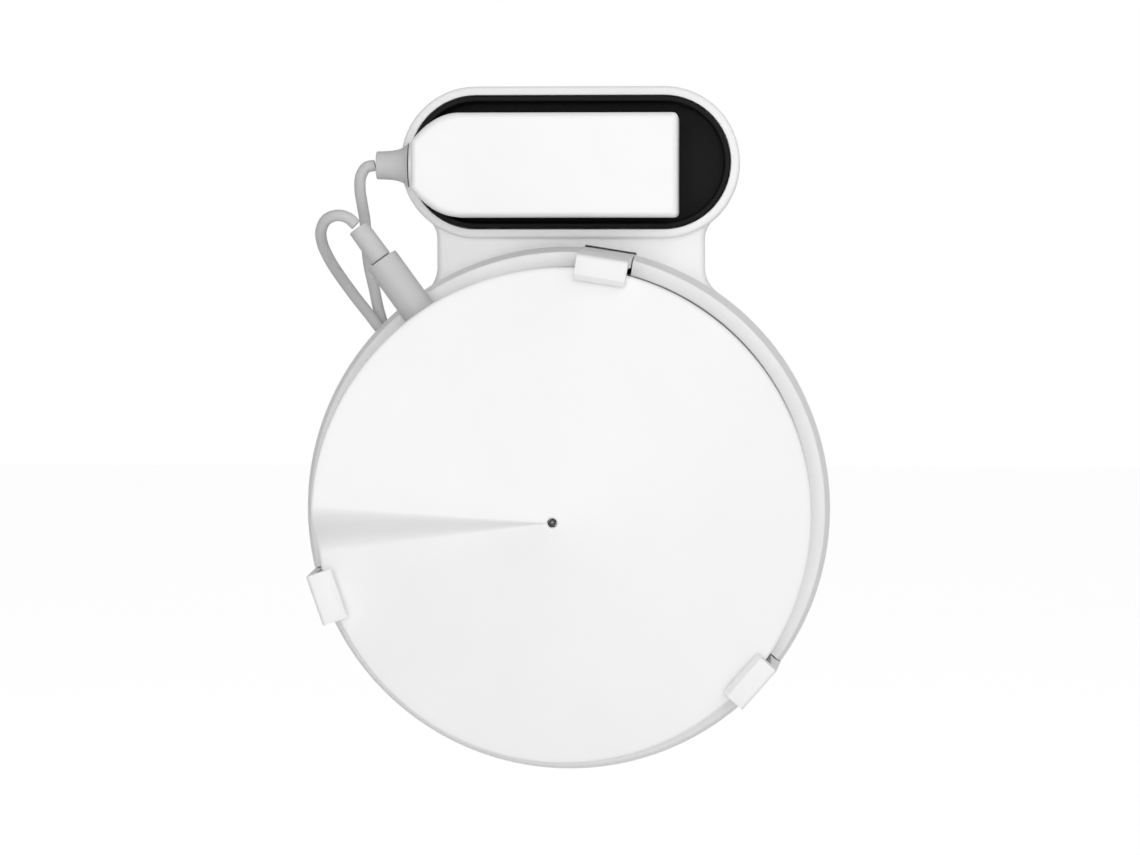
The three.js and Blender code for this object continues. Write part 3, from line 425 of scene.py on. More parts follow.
# ---------- the lead ----------
ADAPTER_RUN = [
    (-48.1, 85.1, 18), (-50.3, 84.6, 18), (-51.7, 82.4, 17.8), (-52, 79, 17), (-51.6, 75.3, 15.6),
    (-51.2, 71.4, 13.6), (-50.8, 61.1, 9.6), (-49.6, 54.1, 7), (-48.7, 49, 5.5), (-47.2, 44.2, 5.05),
    (-44.4, 38.2, 5.05), (-41, 31, 5.05), (-37.6, 23.5, 5.05), (-34.4, 15, 5.05), (-32.2, 7, 5.05),
    (-31.35, -1, 5.05),
]
LOOP_RUN = [
    (6, 30.9, 8.35), (-3, 31.4, 8.35), (-12, 32.8, 8.35), (-21, 34.6, 8.35), (-30, 36.6, 8.35),
    (-38, 38.6, 8.35), (-44.2, 41, 8.35), (-48.2, 44.6, 8.4), (-50.6, 47.9, 9.7), (-53.4, 51.9, 12.8),
    (-56.1, 56.2, 16.8),
]
PLUG_RUN = [
    (-56.1, 56.2, 16.8), (-58.7, 61.1, 22), (-60.2, 65.8, 27.2), (-60, 69, 30.6), (-58.4, 71.5, 32.8),
    (-55.6, 72.5, 33.9), (-53, 71.9, 34), (-51.05, 70.2, 34),
]


def smooth_line(points, per_span=8):
    """Centripetal Catmull-Rom through the points."""
    knots = [Vector(p) for p in points]
    ends = [2 * knots[0] - knots[1], *knots, 2 * knots[-1] - knots[-2]]
    line = []
    for i in range(1, len(ends) - 2):
        p0, p1, p2, p3 = ends[i - 1:i + 3]
        t1 = (p1 - p0).length ** 0.5
        t2 = t1 + (p2 - p1).length ** 0.5
        t3 = t2 + (p3 - p2).length ** 0.5
        for j in range(per_span):
            t = t1 + (t2 - t1) * j / per_span
            a1 = p0 * (t1 - t) / t1 + p1 * t / t1
            a2 = p1 * (t2 - t) / (t2 - t1) + p2 * (t - t1) / (t2 - t1)
            a3 = p2 * (t3 - t) / (t3 - t2) + p3 * (t - t2) / (t3 - t2)
            b1 = a1 * (t2 - t) / t2 + a2 * t / t2
            b2 = a2 * (t3 - t) / (t3 - t1) + a3 * (t - t1) / (t3 - t1)
            line.append(b1 * (t2 - t) / (t2 - t1) + b2 * (t - t1) / (t2 - t1))
    return [*line, knots[-1]]


def coil_line():
    """Just over three turns in along the lower layer, then three out along the upper one."""
    line = []
    start = 180
    turns = 6.72
    inward = 3.3
    climb = 0.35
    enter_turns, leave_turns = 0.2, 0.25
    per_turn = 40
    outer = COIL_INNER_R + inward * COIL_PITCH
    last_r = COIL_INNER_R + COIL_PITCH * (turns - inward - climb)
    for i in range(int(turns * per_turn) + 1):
        t = i / per_turn
        angle = math.radians(start + 360 * t)
        if t < inward:
            r, z = outer - COIL_PITCH * t, COIL_LAYERS[0]
        elif t < inward + climb:
            share = (t - inward) / climb
            r = COIL_INNER_R
            z = COIL_LAYERS[0] + (COIL_LAYERS[1] - COIL_LAYERS[0]) * share * share * (3 - 2 * share)
        else:
            r, z = COIL_INNER_R + COIL_PITCH * (t - inward - climb), COIL_LAYERS[1]
        enter = max(0.0, 1 - t / enter_turns)
        r += (COIL_START_R - outer) * enter * enter
        leave = max(0.0, 1 - (turns - t) / leave_turns)
        r += (COIL_END_R - last_r) * leave * leave
        z += (COIL_END_Z - COIL_LAYERS[1]) * leave * leave
        line.append(Vector((r * math.cos(angle), r * math.sin(angle), z)))
    return line


def tube(name, line, sides=20):
    """An oval tube whose wide face looks out of the wall."""
    loops = []
    for i, p in enumerate(line):
        ahead = (line[min(i + 1, len(line) - 1)] - line[max(i - 1, 0)]).normalized()
        side = ahead.cross(Vector((0, 0, 1))).normalized()
        lift = side.cross(ahead)
        turns = [math.tau * j / sides for j in range(sides)]
        loops.append([tuple(p + side * CORD_HALF_W * math.cos(a) + lift * CORD_HALF_T * math.sin(a))
                      for a in turns])
    return build(name, rings(loops))


def lead_piece(name, line, stands_for):
    obj = tube(name, line)
    for polygon in obj.data.polygons:
        polygon.use_smooth = True
    obj.data.set_sharp_from_angle(angle=math.radians(50))
    obj.data.materials.append(LEAD)
    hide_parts(stands_for)
    return obj


# ---------- the plug in the router's power socket ----------
PLUG_FROM, PLUG_TO = BEZEL_R + 0.9, BEZEL_R + 18.8
PLUG_R = 4.15
BARREL_R, BARREL_BORE_R, BARREL_L = 2.75, 1.1, 8.0
RELIEF_FROM, RELIEF_TO = PLUG_TO + GAP, PLUG_TO + 9.7
RELIEF_R, RELIEF_TIP_R = 2.75, 2.6
CORD_HOLE_R, CORD_HOLE_DEPTH = 1.62, 2


def power_plug_body():
    """A plain cylinder with a crisp outer end and a seat for the relief."""
    seat = 0.4
    profile = [(0, PLUG_FROM), (PLUG_R - 0.6, PLUG_FROM)]
    profile += arc(PLUG_R - 0.4, PLUG_FROM + 0.4, 0.4, -90, 0, 4)
    profile += arc(PLUG_R - 0.25, PLUG_TO - 0.25, 0.25, 0, 90, 4)
    profile += [(PLUG_R - 0.5, PLUG_TO), (RELIEF_R + 0.25, PLUG_TO), (RELIEF_R + 0.15, PLUG_TO - seat),
                (0, PLUG_TO - seat)]
    obj = build("power_plug_body", on_radius(along_radius(profile, PLUG_Z, 72), POWER_ANGLE))
    return piece(obj, LEAD, "power_plug", "cord_grey", "plug_body")


def power_plug_relief():
    """The tapered sleeve, with a rim and a hole where the cord goes in."""
    profile = [(0, RELIEF_FROM), (RELIEF_R - 0.2, RELIEF_FROM), (RELIEF_R, RELIEF_FROM + 0.2)]
    profile += arc(RELIEF_TIP_R - 0.3, RELIEF_TO - 0.3, 0.3, 0, 90, 4)
    profile += [(CORD_HOLE_R + 0.1, RELIEF_TO), (CORD_HOLE_R, RELIEF_TO - 0.2),
                (CORD_HOLE_R, RELIEF_TO - CORD_HOLE_DEPTH), (0, RELIEF_TO - CORD_HOLE_DEPTH)]
    obj = build("power_plug_relief", on_radius(along_radius(profile, PLUG_Z, 64), POWER_ANGLE))
    return piece(obj, LEAD, "power_plug", "cord_grey", "plug_strain_relief")


def power_plug_barrel():
    """The plated tube that goes into the socket."""
    r, bore = BARREL_R, BARREL_BORE_R
    start, end = PLUG_FROM - GAP - BARREL_L, PLUG_FROM - GAP
    profile = [(bore, start + 0.3), (bore + 0.25, start), (r - 0.35, start), (r, start + 0.35), (r, end),
               (bore, end)]
    tube_skin = along_radius(profile, PLUG_Z, 56, closed=True)
    obj = build("power_plug_barrel", on_radius(tube_skin, POWER_ANGLE))
    return piece(obj, BRASS, "power_plug", "contact_brass", "plug_barrel")


def lead():
    """Adapter, coil behind the router, notch, loop, plug: four pieces of one cord."""
    adapter_line = smooth_line(ADAPTER_RUN)
    coil = coil_line()
    loop_line = smooth_line(LOOP_RUN)
    plug_line = smooth_line(PLUG_RUN)
    run = lead_piece("lead_adapter_run", adapter_line, "cord_adapter_run")
    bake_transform(run)
    wound = lead_piece("lead_coil", coil, "cord_coil")
    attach(wound, "holder")
    loop = lead_piece("lead_loop_run", loop_line, "cord_loop_run")
    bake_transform(loop)
    end = lead_piece("lead_plug_run", plug_line, "cord_plug_run")
    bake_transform(end)
    plug = [power_plug_body(), power_plug_relief(), power_plug_barrel()]


lead()


# ---------- the router ----------
def smooth(start, end, x):
    """0 before the start, 1 after the end, and a smooth climb between them."""
    t = min(max((x - start) / (end - start), 0), 1)
    return t * t * (3 - 2 * t)


def rim_lift(angle):
    """Lift of the lid's rim: it climbs over the ports and falls in one fold."""
    climb = VISOR_H * smooth(VISOR_START, VISOR_FULL, angle)
    fall = (VISOR_H + FOLD_DIP) * smooth(FOLD_START, FOLD_END, angle)
    return climb - fall + FOLD_DIP * smooth(FOLD_END, DIP_END, angle)


def lid_angles():
    """Degrees round the status light, closer together across the fold."""
    step, fold_step, margin = 1.5, 0.4, 4
    angles = []
    angle = 0.0
    while angle < 359.99:
        angles.append(angle)
        angle += fold_step if FOLD_START - margin <= angle < FOLD_END + margin else step
    return angles


def loop(reach_of, height_of):
    """Points round the status light, each on the straight line from it to the rim."""
    points = []
    for angle in lid_angles():
        ahead = Vector((math.cos(math.radians(angle)), math.sin(math.radians(angle))))
        along = LIGHT.dot(ahead)
        to_rim = -along + math.sqrt(along * along + LID_R * LID_R - LIGHT.length_squared)
        reach = reach_of(to_rim)
        at = LIGHT + ahead * reach
        points.append((at.x, at.y, height_of(reach / to_rim, rim_lift(angle))))
    return points


def face(offset):
    """Height of the lid's surface, or of one at an offset from it."""
    return lambda share, lift: RIM_Z + offset + LID_DOME * (1 - share) + lift * share


def router_lid():
    """A dome that rises over the ports, with a skirt below its rim and the four screw bosses."""
    def skirt(rise):
        return lambda share, lift: RIM_Z - SKIRT_H + rise + SKIRT_LIFT * max(lift, 0)

    ease = 0.3
    loops = [loop(lambda to_rim: LIGHT_HOLE_R, face(-ease))]
    loops.append(loop(lambda to_rim: LIGHT_HOLE_R + ease, face(0)))
    for reach in (1.8, 2.6, 4, 6, 9, 13, 18, 24, 31, 38, 45, 51):
        loops.append(loop(lambda to_rim, r=reach: r, face(0)))
    loops.append(loop(lambda to_rim: to_rim - 2.0, face(0)))
    for inset, drop in arc(LID_ROUND, -LID_ROUND, LID_ROUND, 90, 180, 6):
        loops.append(loop(lambda to_rim, e=inset: to_rim - e, face(drop)))
    loops.append(loop(lambda to_rim: to_rim, skirt(0.25)))
    loops.append(loop(lambda to_rim: to_rim - 0.25, skirt(0)))
    loops.append(loop(lambda to_rim: to_rim - LID_T, skirt(0)))
    loops.append(loop(lambda to_rim: to_rim - LID_T, face(-LID_T)))
    for reach in (50, 40, 28, 16, 7):
        loops.append(loop(lambda to_rim, r=reach: r, face(-LID_T)))
    loops.append(loop(lambda to_rim: LIGHT_HOLE_R, face(-LID_T)))
    skins = [rings(loops, closed=True)]
    boss = [(BOSS_BORE_R, ON_BOARD_Z), (BOSS_R, ON_BOARD_Z), (BOSS_R, RIM_Z + BOSS_RISE),
            (BOSS_BORE_R, RIM_Z - BOSS_BORE_DROP)]
    for angle in SCREW_ANGLES:
        skins.append(lathe(boss, *screw_place(angle), 32, closed=True))
    piece(build("router_lid_shell", *skins), ROUTER, "router", "router_white", "router_lid", sharp=60)


def spline_profile(points):
    """A smooth (radius, height) line through the points."""
    return [(p.x, p.y) for p in smooth_line([(r, z, 0) for r, z in points], per_span=4)]


def router_lower_shell():
    """A bowl with a round back, open at the ports, and a stepped hole for each foot and screw."""
    r, z, top = SHELL_HIGH.x, BACK_Z, SHELL_HIGH.z
    outer = spline_profile([(50.6, z), (r - 5, z + 2.4), (r - 2.4, z + 7), (r - 0.7, z + 14),
                            (r, z + 24), (r, top)])
    inner = spline_profile([(r - 2, top), (r - 2.05, z + 22), (r - 3.2, z + 12), (r - 4.8, z + 6.5),
                            (r - 8.6, z + 3), (47, z + 2)])
    profile = [(0, z), (49.6, z), *outer, *inner, (0, z + 2)]
    shell = build("router_base_shell", lathe(profile, sides=180))
    spare = 0.4
    window = ring_sector(LID_R - 8, LID_R + 2, BEZEL_START - spare, BEZEL_END + spare, BEZEL_LOW.z - GAP,
                         top + 1, 34)
    shelf, end = z + FOOT_WELL_DEPTH, z + SCREW_WELL_DEPTH
    well = [(0, z - 1), (FOOT_WELL_R, z - 1), (FOOT_WELL_R, shelf), (SCREW_WELL_R, shelf),
            (SCREW_WELL_R, end), (0, end)]
    cut(shell, window, *[lathe(well, *screw_place(angle), 40) for angle in SCREW_ANGLES])
    piece(shell, ROUTER, "router", "router_white", "router_lower_shell")


def port_holes():
    """What goes through the bezel: two network mouths, the power hole and the button's hole."""
    through = (BEZEL_INNER_R - 4, BEZEL_R + 4)
    half = MOUTH_W / 2 + GAP
    holes = []
    for angle in LAN_ANGLES:
        holes.append(on_radius(block(*through, -half, half, MOUTH_Z - GAP, MOUTH_Z + MOUTH_H + GAP), angle))
    for r, z, angle in ((PLUG_HOLE_R, PLUG_Z, POWER_ANGLE), (RESET_R + GAP, RESET_Z, RESET_ANGLE)):
        rod = [(0, through[0]), (r, through[0]), (r, through[1]), (0, through[1])]
        holes.append(on_radius(along_radius(rod, z), angle))
    return holes


def lid_space():
    """The lid and all that is above it, down to a gap below its underside."""
    def centre(to_rim):
        return 0.1

    def rim(to_rim):
        return to_rim

    def above(share, lift):
        return RIM_Z + 3 * VISOR_H

    under = face(-LID_T - GAP)
    return rings([loop(centre, under), loop(rim, under), loop(rim, above), loop(centre, above)], closed=True)


def port_bezel():
    """The port wall, and its brow that closes the bay up to the lid."""
    low, brow = BEZEL_LOW.z, SHELL_HIGH.z + GAP
    wall = ring_sector(BEZEL_INNER_R, BEZEL_R, BROW_START, BROW_END, low, RIM_Z + VISOR_H)
    plate = build("port_plate", wall)
    ends = [ring_sector(BEZEL_INNER_R - 2, BEZEL_R + 2, start, end, low - 1, brow, 20)
            for start, end in ((BROW_START - 3, BEZEL_START), (BEZEL_END, BROW_END + 3))]
    cut(plate, *ends, lid_space(), *port_holes())
    bevel(plate, 0.2, 2, 50)
    piece(plate, PORTS, "router", "port_grey", "port_bezel")


def lan_block(back, front, inset=0):
    """A network port's box between two distances, its four sides drawn in by an inset."""
    half = LAN_W / 2 - inset
    return block(back, front, -half, half, LAN_Z + inset, LAN_Z + LAN_H - inset)


def lan_port(number, angle):
    """A plated shell round a black insert with eight sprung contacts."""
    back = LAN_FRONT - LAN_L
    shell = build(f"lan_port_{number}_shell", on_radius(lan_block(back, LAN_FRONT), angle))
    cut(shell, on_radius(lan_block(back + 0.5, LAN_FRONT + 1, LAN_WALL), angle))
    bevel(shell, 0.15, 2, 50)
    piece(shell, STEEL, "router", "shield_steel", f"lan_jack_{number}")
    lining = lan_block(back + 0.6, LAN_FRONT - 0.1, LAN_WALL + 0.1)
    insert = build(f"lan_port_{number}_insert", on_radius(lining, angle))
    half, key = MOUTH_W / 2, KEY_HALF_W
    low, step, high = MOUTH_Z, MOUTH_Z + KEY_H, MOUTH_Z + MOUTH_H
    mouth = [(-half, step), (-key, step), (-key, low), (key, low), (key, step), (half, step), (half, high),
             (-half, high)]
    tool = rings([[(d, y, z) for y, z in mouth] for d in (LAN_FRONT - MOUTH_L, LAN_FRONT + 1)])
    cut(insert, on_radius(tool, angle))
    bevel(insert, 0.12, 2, 50)
    piece(insert, CHIP, "router", "chip_black")
    wires = []
    spring = ((10.9, 0.2), (7, 0.6), (3.4, 2.6), (2.9, 2.6), (2.6, 2.2))
    for i in range(CONTACTS):
        y = (i - (CONTACTS - 1) / 2) * CONTACT_PITCH
        left, right = y - CONTACT_HALF_W, y + CONTACT_HALF_W
        loops = []
        for depth, drop in spring:
            d, under, over = LAN_FRONT - depth, high - drop - CONTACT_HALF_T, high - drop + CONTACT_HALF_T
            loops.append([(d, left, under), (d, right, under), (d, right, over), (d, left, over)])
        wires.append(on_radius(rings(loops), angle))
    piece(build(f"lan_port_{number}_contacts", *wires), BRASS, "router", "contact_brass")


def reset_button():
    """A plunger with a dished end, just inside the bezel's face."""
    end = BEZEL_R - 0.2
    profile = [(0, end - RESET_L), (RESET_R, end - RESET_L), (RESET_R, end - 0.4)]
    profile += arc(RESET_R - 0.35, end - 0.35, 0.35, 0, 90, 4) + [(0.5, end - 0.12), (0, end - 0.18)]
    obj = build("reset_plunger", on_radius(along_radius(profile, RESET_Z, 36), RESET_ANGLE))
    piece(obj, PORTS, "reset_button", "port_grey", "reset_button")


def light_lens():
    """A lens at the top of the clear pipe, just below the lid's hole; its dark grey is painted shade for the
    inside of the hole, and its glossy coat is real.
    """
    low, high = seen("light_pipe")
    shoulder, tip = RIM_Z + LID_DOME - LID_T - 0.9, high.z
    dome = []
    for degrees in range(0, 90, 15):
        a = math.radians(degrees)
        dome.append((LENS_TIP_R * math.cos(a), tip - LENS_DOME + LENS_DOME * math.sin(a)))
    profile = [(0, low.z), (LENS_R - 0.1, low.z), (LENS_R, low.z + 0.1), (LENS_R, shoulder - 0.15),
               (LENS_R - 0.15, shoulder), (LENS_TIP_R, shoulder), *dome, (0, tip)]
    piece(build("status_lens", lathe(profile, *LIGHT, 48)), SHADE_PAINTED_LENS, "router", "clear_lens", "light_pipe")


router_lid()
router_lower_shell()
port_bezel()
for port, port_angle in enumerate(LAN_ANGLES, 1):
    lan_port(port, port_angle)
reset_button()
light_lens()


# ---------- the wall holder ----------
def holder_outline(inset):
    """The holder from the front: cup, fillets, neck, fillets, oval frame."""
    cup_r, frame_r = CUP_R - inset, FRAME_R - inset
    cup_x = NECK_HALF_W + FILLET_CUP
    cup_y = math.sqrt((CUP_R + FILLET_CUP) ** 2 - cup_x ** 2)
    top_x = NECK_HALF_W + FILLET_TOP
    top_y = OVAL_Y - math.sqrt((FRAME_R + FILLET_TOP) ** 2 - (top_x - OVAL_HALF) ** 2)
    cup = math.degrees(math.atan2(cup_y, cup_x))
    top = math.degrees(math.atan2(top_y - OVAL_Y, top_x - OVAL_HALF))
    fillet_cup, fillet_top = FILLET_CUP + inset, FILLET_TOP + inset
    points = arc(0, 0, cup_r, 180 - cup, 360 + cup, 130)[:-1]
    points += arc(cup_x, cup_y, fillet_cup, cup + 180, 180, 12)
    points += arc(top_x, top_y, fillet_top, 180, top + 180, 12)[:-1]
    points += arc(OVAL_HALF, OVAL_Y, frame_r, top, 90, 40)
    points += arc(-OVAL_HALF, OVAL_Y, frame_r, 90, 180 - top, 40)[:-1]
    points += arc(-top_x, top_y, fillet_top, -top, 0, 12)
    points += arc(-cup_x, cup_y, fillet_cup, 0, -cup, 12)[:-1]
    return points


def blade_holes(z0, z1, half_w=3.975, half_t=1.55):
    """A slot round each mains blade, between two heights."""
    return [block(x - half_t, x + half_t, ADAPTER_Y - half_w, ADAPTER_Y + half_w, z0, z1) for x in BLADES]


def clip_slots():
    """The openings in the cup's wall for the three clips."""
    return [on_radius(block(CUP_INNER_R - 2, CUP_R + 2, -SLOT_HALF, SLOT_HALF, PLATE_T, CUP_H + 1), angle)
            for angle in CLIPS.values()]


def holder_back():
    """The plate on the wall, with the two holes that the blades go through."""
    profile = [*edge_down(0, 0.5), (0, PLATE_T - 0.15), (0.15, PLATE_T), (0.6, PLATE_T)]
    plate = build("holder_back", stack(holder_outline, profile))
    cut(plate, *blade_holes(-1, PLATE_T + 1))
    piece(plate, HOLDER, "holder", "holder_plastic", "holder_body")


def holder_cup():
    """The round wall with its sloping rim, cut for the clips and the lead."""
    slope = CUP_H - CUP_SLOPE_H
    profile = [(CUP_INNER_R, PLATE_T - 0.05), (CUP_R - 0.35, PLATE_T - 0.05), (CUP_R, PLATE_T + 0.15),
               (CUP_R, slope - 0.4), (CUP_R - 0.04, slope - 0.05), (CUP_R - 0.16, slope + 0.4),
               (CUP_RIM_R + 0.18, CUP_H - 0.75)]
    profile += arc(CUP_RIM_R - 0.45, CUP_H - 0.6, 0.6, 10, 90, 5)
    profile += arc(CUP_INNER_R + 0.4, CUP_H - 0.4, 0.4, 90, 180, 4)
    wall = build("holder_cup", lathe(profile, sides=216, closed=True))
    notch = block(CUP_INNER_R - 2, CUP_R + 2, -NOTCH_HALF, NOTCH_HALF, PLATE_T - 1, PLATE_T + NOTCH_H)
    cut(wall, *clip_slots(), on_radius(notch, NOTCH_ANGLE))
    piece(wall, HOLDER, "holder", "holder_plastic")


def holder_rests():
    """The three studs on the plate that the router rests on."""
    stud = [(0, PLATE_T - 0.05), (REST_R, PLATE_T - 0.05), (REST_R, REST_TOP - 0.4),
            (REST_R - 0.4, REST_TOP), (0, REST_TOP)]
    rests = [lathe(stud, *screw_place(angle), 40) for angle in REST_ANGLES]
    piece(build("holder_rests", *rests), HOLDER, "holder", "holder_plastic")


def clip_pocket():
    """Room for the top clip to swing back from its root."""
    back = CLIP_INNER_R + CLIP_T + 0.1
    root, top = PLATE_T + GAP + CLIP_T / 2, NECK_Z + 1
    profile = [(CUP_R - 2, root), (back, root), (back + (top - root) * CLIP_LEAN, top), (CUP_R - 2, top)]
    wedge = rings([[(r, t, z) for r, z in profile] for t in (-SLOT_HALF, SLOT_HALF)])
    return on_radius(wedge, CLIPS["top"])


def holder_neck():
    """The neck between cup and frame: the outline less the cup, the rest of its ring and the oval."""
    low = HOUSING_LOW.z
    bottom, top = low - 1, NECK_Z + 1
    profile = [(0.15, low), (0, low + 0.15), *edge_up(NECK_Z, NECK_ROUND)]
    neck = build("holder_neck", stack(holder_outline, profile))
    seat_r = CUP_R - GAP
    cup = lathe([(0, bottom), (seat_r, bottom), (seat_r, top), (0, top)], sides=216)
    leave = math.degrees(math.acos((NECK_HALF_W + FILLET_CUP) / (CUP_R + FILLET_CUP)))
    past = 0.8
    below = ring_sector(CUP_R - 4, CUP_R + 1, 180 + past - leave, 360 - past + leave, bottom, top, 180)
    cut(neck, cup, below, prism(stadium(FRAME_R - 1.2), bottom, top), clip_pocket())
    piece(neck, HOLDER, "holder", "holder_plastic", "upper_housing")


def holder_frame():
    """The raised oval rim round the tray."""
    low = HOUSING_LOW.z
    profile = [(OVAL_R, low), (FRAME_R - 0.02, low)]
    profile += arc(FRAME_R - 0.9, FRAME_Z - 0.9, 0.9, 0, 90, 6)
    profile += arc(OVAL_R + 0.3, FRAME_Z - 0.3, 0.3, 90, 180, 4)
    loops = [[(x, y, z) for x, y in stadium(r)] for r, z in profile]
    piece(build("holder_frame", rings(loops, closed=True)), HOLDER, "holder", "holder_plastic")


def outlet_tray():
    """The dark oval dish that the adapter plugs in through."""
    low, high = TRAY_LOW.z, TRAY_HIGH.z
    inner = TRAY_R - TRAY_WALL
    profile = [(TRAY_R - 0.3, low), (TRAY_R, low + 0.3)]
    profile += arc(TRAY_R - 0.25, high - 0.25, 0.25, 0, 90, 3)
    profile += arc(inner + 0.25, high - 0.25, 0.25, 90, 180, 3)
    profile += arc(inner - 0.8, TRAY_FLOOR + 0.8, 0.8, 0, -90, 5)
    profile += [(inner - 1.2, TRAY_FLOOR)]
    loops = [[(x, y, z) for x, y in stadium(r)] for r, z in profile]
    tray = build("tray_liner", rings(loops))
    cut(tray, *blade_holes(low - 1, TRAY_FLOOR + 1))
    piece(tray, TRAY, "holder", "tray_black", "outlet_tray")


def lead_hub():
    """The spool that the lead is wound on: a drum with a thin flange."""
    low, high = seen("cable_hub")
    drum, flange, wall = 17.8, high.x, 1.8
    under = high.z - 1.1
    profile = [(0, under - 0.4), (drum - wall, under - 0.4), (drum - wall, low.z), (drum, low.z),
               (drum, under - 0.4), (drum + 0.4, under), (flange - 0.4, under), (flange, under + 0.4),
               (flange, high.z - 0.4), (flange - 0.4, high.z), (0, high.z)]
    piece(build("lead_hub", lathe(profile, sides=90)), HOLDER, "holder", "holder_plastic", "cable_hub")


def clip(side, angle):
    """A sprung arm whose lip holds the lid's rim."""
    foot = CLIP_T / 2
    outer = CLIP_INNER_R + CLIP_T
    lip_z = RIM_Z + (LID_R - LID_ROUND) + GAP * math.sqrt(2) - CLIP_INNER_R
    tip_r = LID_R - 3.2
    tip_z = lip_z + CLIP_INNER_R - tip_r
    top_z = tip_z + 1.3
    profile = arc(CLIP_INNER_R + foot, PLATE_T + GAP + foot, foot, 180, 360, 12)
    profile += [(outer, CUP_H - CUP_SLOPE_H), (CLIP_INNER_R + 2, lip_z)]
    profile += arc(CLIP_INNER_R + 0.7, top_z - 1.0, 1.0, 10, 90, 6)
    profile += [(tip_r + 1.3, top_z), (tip_r, top_z - 1.1), (tip_r, tip_z), (CLIP_INNER_R, lip_z)]
    slab = rings([[(r, t, z) for r, z in profile] for t in (-CLIP_W / 2, CLIP_W / 2)])
    arm = build(f"clip_{side}", on_radius(slab, angle))
    bevel(arm, 0.25, 3, 28)
    piece(arm, HOLDER, f"clip_{side}", "holder_plastic", f"clip_arm_{side}")


holder_back()
holder_cup()
holder_rests()
holder_neck()
holder_frame()
outlet_tray()
lead_hub()
for clip_side, clip_angle in CLIPS.items():
    clip(clip_side, clip_angle)


# ---------- the power adapter ----------
def adapter_outline(inset):
    """A bullet: square right end with small corners, blunt curved nose to the left."""
    left, right = ADAPTER_LOW.x + inset, ADAPTER_HIGH.x - inset
    half = (ADAPTER_HIGH.y - ADAPTER_LOW.y) / 2 - inset
    end = END_HALF - inset * 0.5
    corner = max(ADAPTER_CORNER - inset, 0.3)
    nose, knee = left + NOSE_L, left + NOSE_L * KNEE_SHARE
    nose_steps = 18
    points = arc(right - corner, ADAPTER_Y - half + corner, corner, -90, 0, 6)
    points += arc(right - corner, ADAPTER_Y + half - corner, corner, 0, 90, 6)
    for side in (1, -1):
        curve = []
        for i in range(nose_steps + 1):
            t = i / nose_steps
            x = (1 - t) ** 2 * nose + 2 * t * (1 - t) * knee + t * t * left
            y = ((1 - t) ** 2 + 2 * t * (1 - t)) * half + t * t * end
            curve.append((x, ADAPTER_Y + side * y))
        points += curve if side == 1 else curve[::-1]
    return points


def adapter_front():
    """The front cover, a shell with a softly rounded edge."""
    low, high = ADAPTER_LOW.z, ADAPTER_HIGH.z
    wall = ADAPTER_WALL
    profile = [(wall + 0.4, high - wall), (wall, high - wall - 0.4), (wall, low), (0.12, low),
               (0, low + 0.12)]
    profile += edge_up(high, 1.3, 0.3, 7)
    piece(build("adapter_cover", stack(adapter_outline, profile)), ADAPTER, "adapter", "adapter_white",
          "adapter_front_case")


def adapter_rear():
    """The rear half: narrow where it sits in the tray, and full size from the frame outwards."""
    low, high = REAR_LOW.z, REAR_HIGH.z
    step, inset, wall = FRAME_Z + GAP, 1.6, ADAPTER_WALL
    profile = [(inset + 0.9, low), *[(inset + 0.6 - a, b) for a, b in arc(0, low + 0.6, 0.6, -90, 0, 4)],
               (inset, step), (0.4, step), (0, step + 0.4), (0, high - 0.12), (0.12, high), (wall, high),
               (wall, step), (inset + wall, step - 0.3), (inset + wall, low + wall),
               (inset + wall + 0.4, low + wall)]
    back = build("adapter_base", stack(adapter_outline, profile))
    cut(back, *blade_holes(low - 1, low + wall + 1, 3.475, 1.05))
    piece(back, ADAPTER, "adapter", "adapter_white", "adapter_rear_case")


def blade(side, x):
    """A plated mains blade with eased edges and a hole near its tip."""
    low, high = seen(f"adapter_blade_{side}")
    half, tip = (high.y - low.y) / 2, BLADE_POINT
    outline = [(-half, high.z), (-half, low.z + tip), (-half + tip, low.z), (half - tip, low.z),
               (half, low.z + tip), (half, high.z)]
    loops = [[(x + t, ADAPTER_Y + y, z) for y, z in outline] for t in (-BLADE_HALF_T, BLADE_HALF_T)]
    obj = build(f"mains_blade_{side}", rings(loops))
    hole, faces = lathe([(0, -2), (BLADE_HOLE_R, -2), (BLADE_HOLE_R, 2), (0, 2)], sides=32)
    cut(obj, ([(x + c, ADAPTER_Y + a, low.z + BLADE_HOLE_Z + b) for a, b, c in hole], faces))
    bevel(obj, 0.2, 2, 40)
    piece(obj, BRASS, "adapter", "contact_brass", f"adapter_blade_{side}")


def along_lead(profile, start):
    """A flattened round piece along the lead's first stretch, from (radius, distance) points."""
    flatness = 0.85
    points, faces = lathe(profile, sides=64)
    return [(start - d, LEAD_Y + a, LEAD_Z + flatness * b) for a, b, d in points], faces


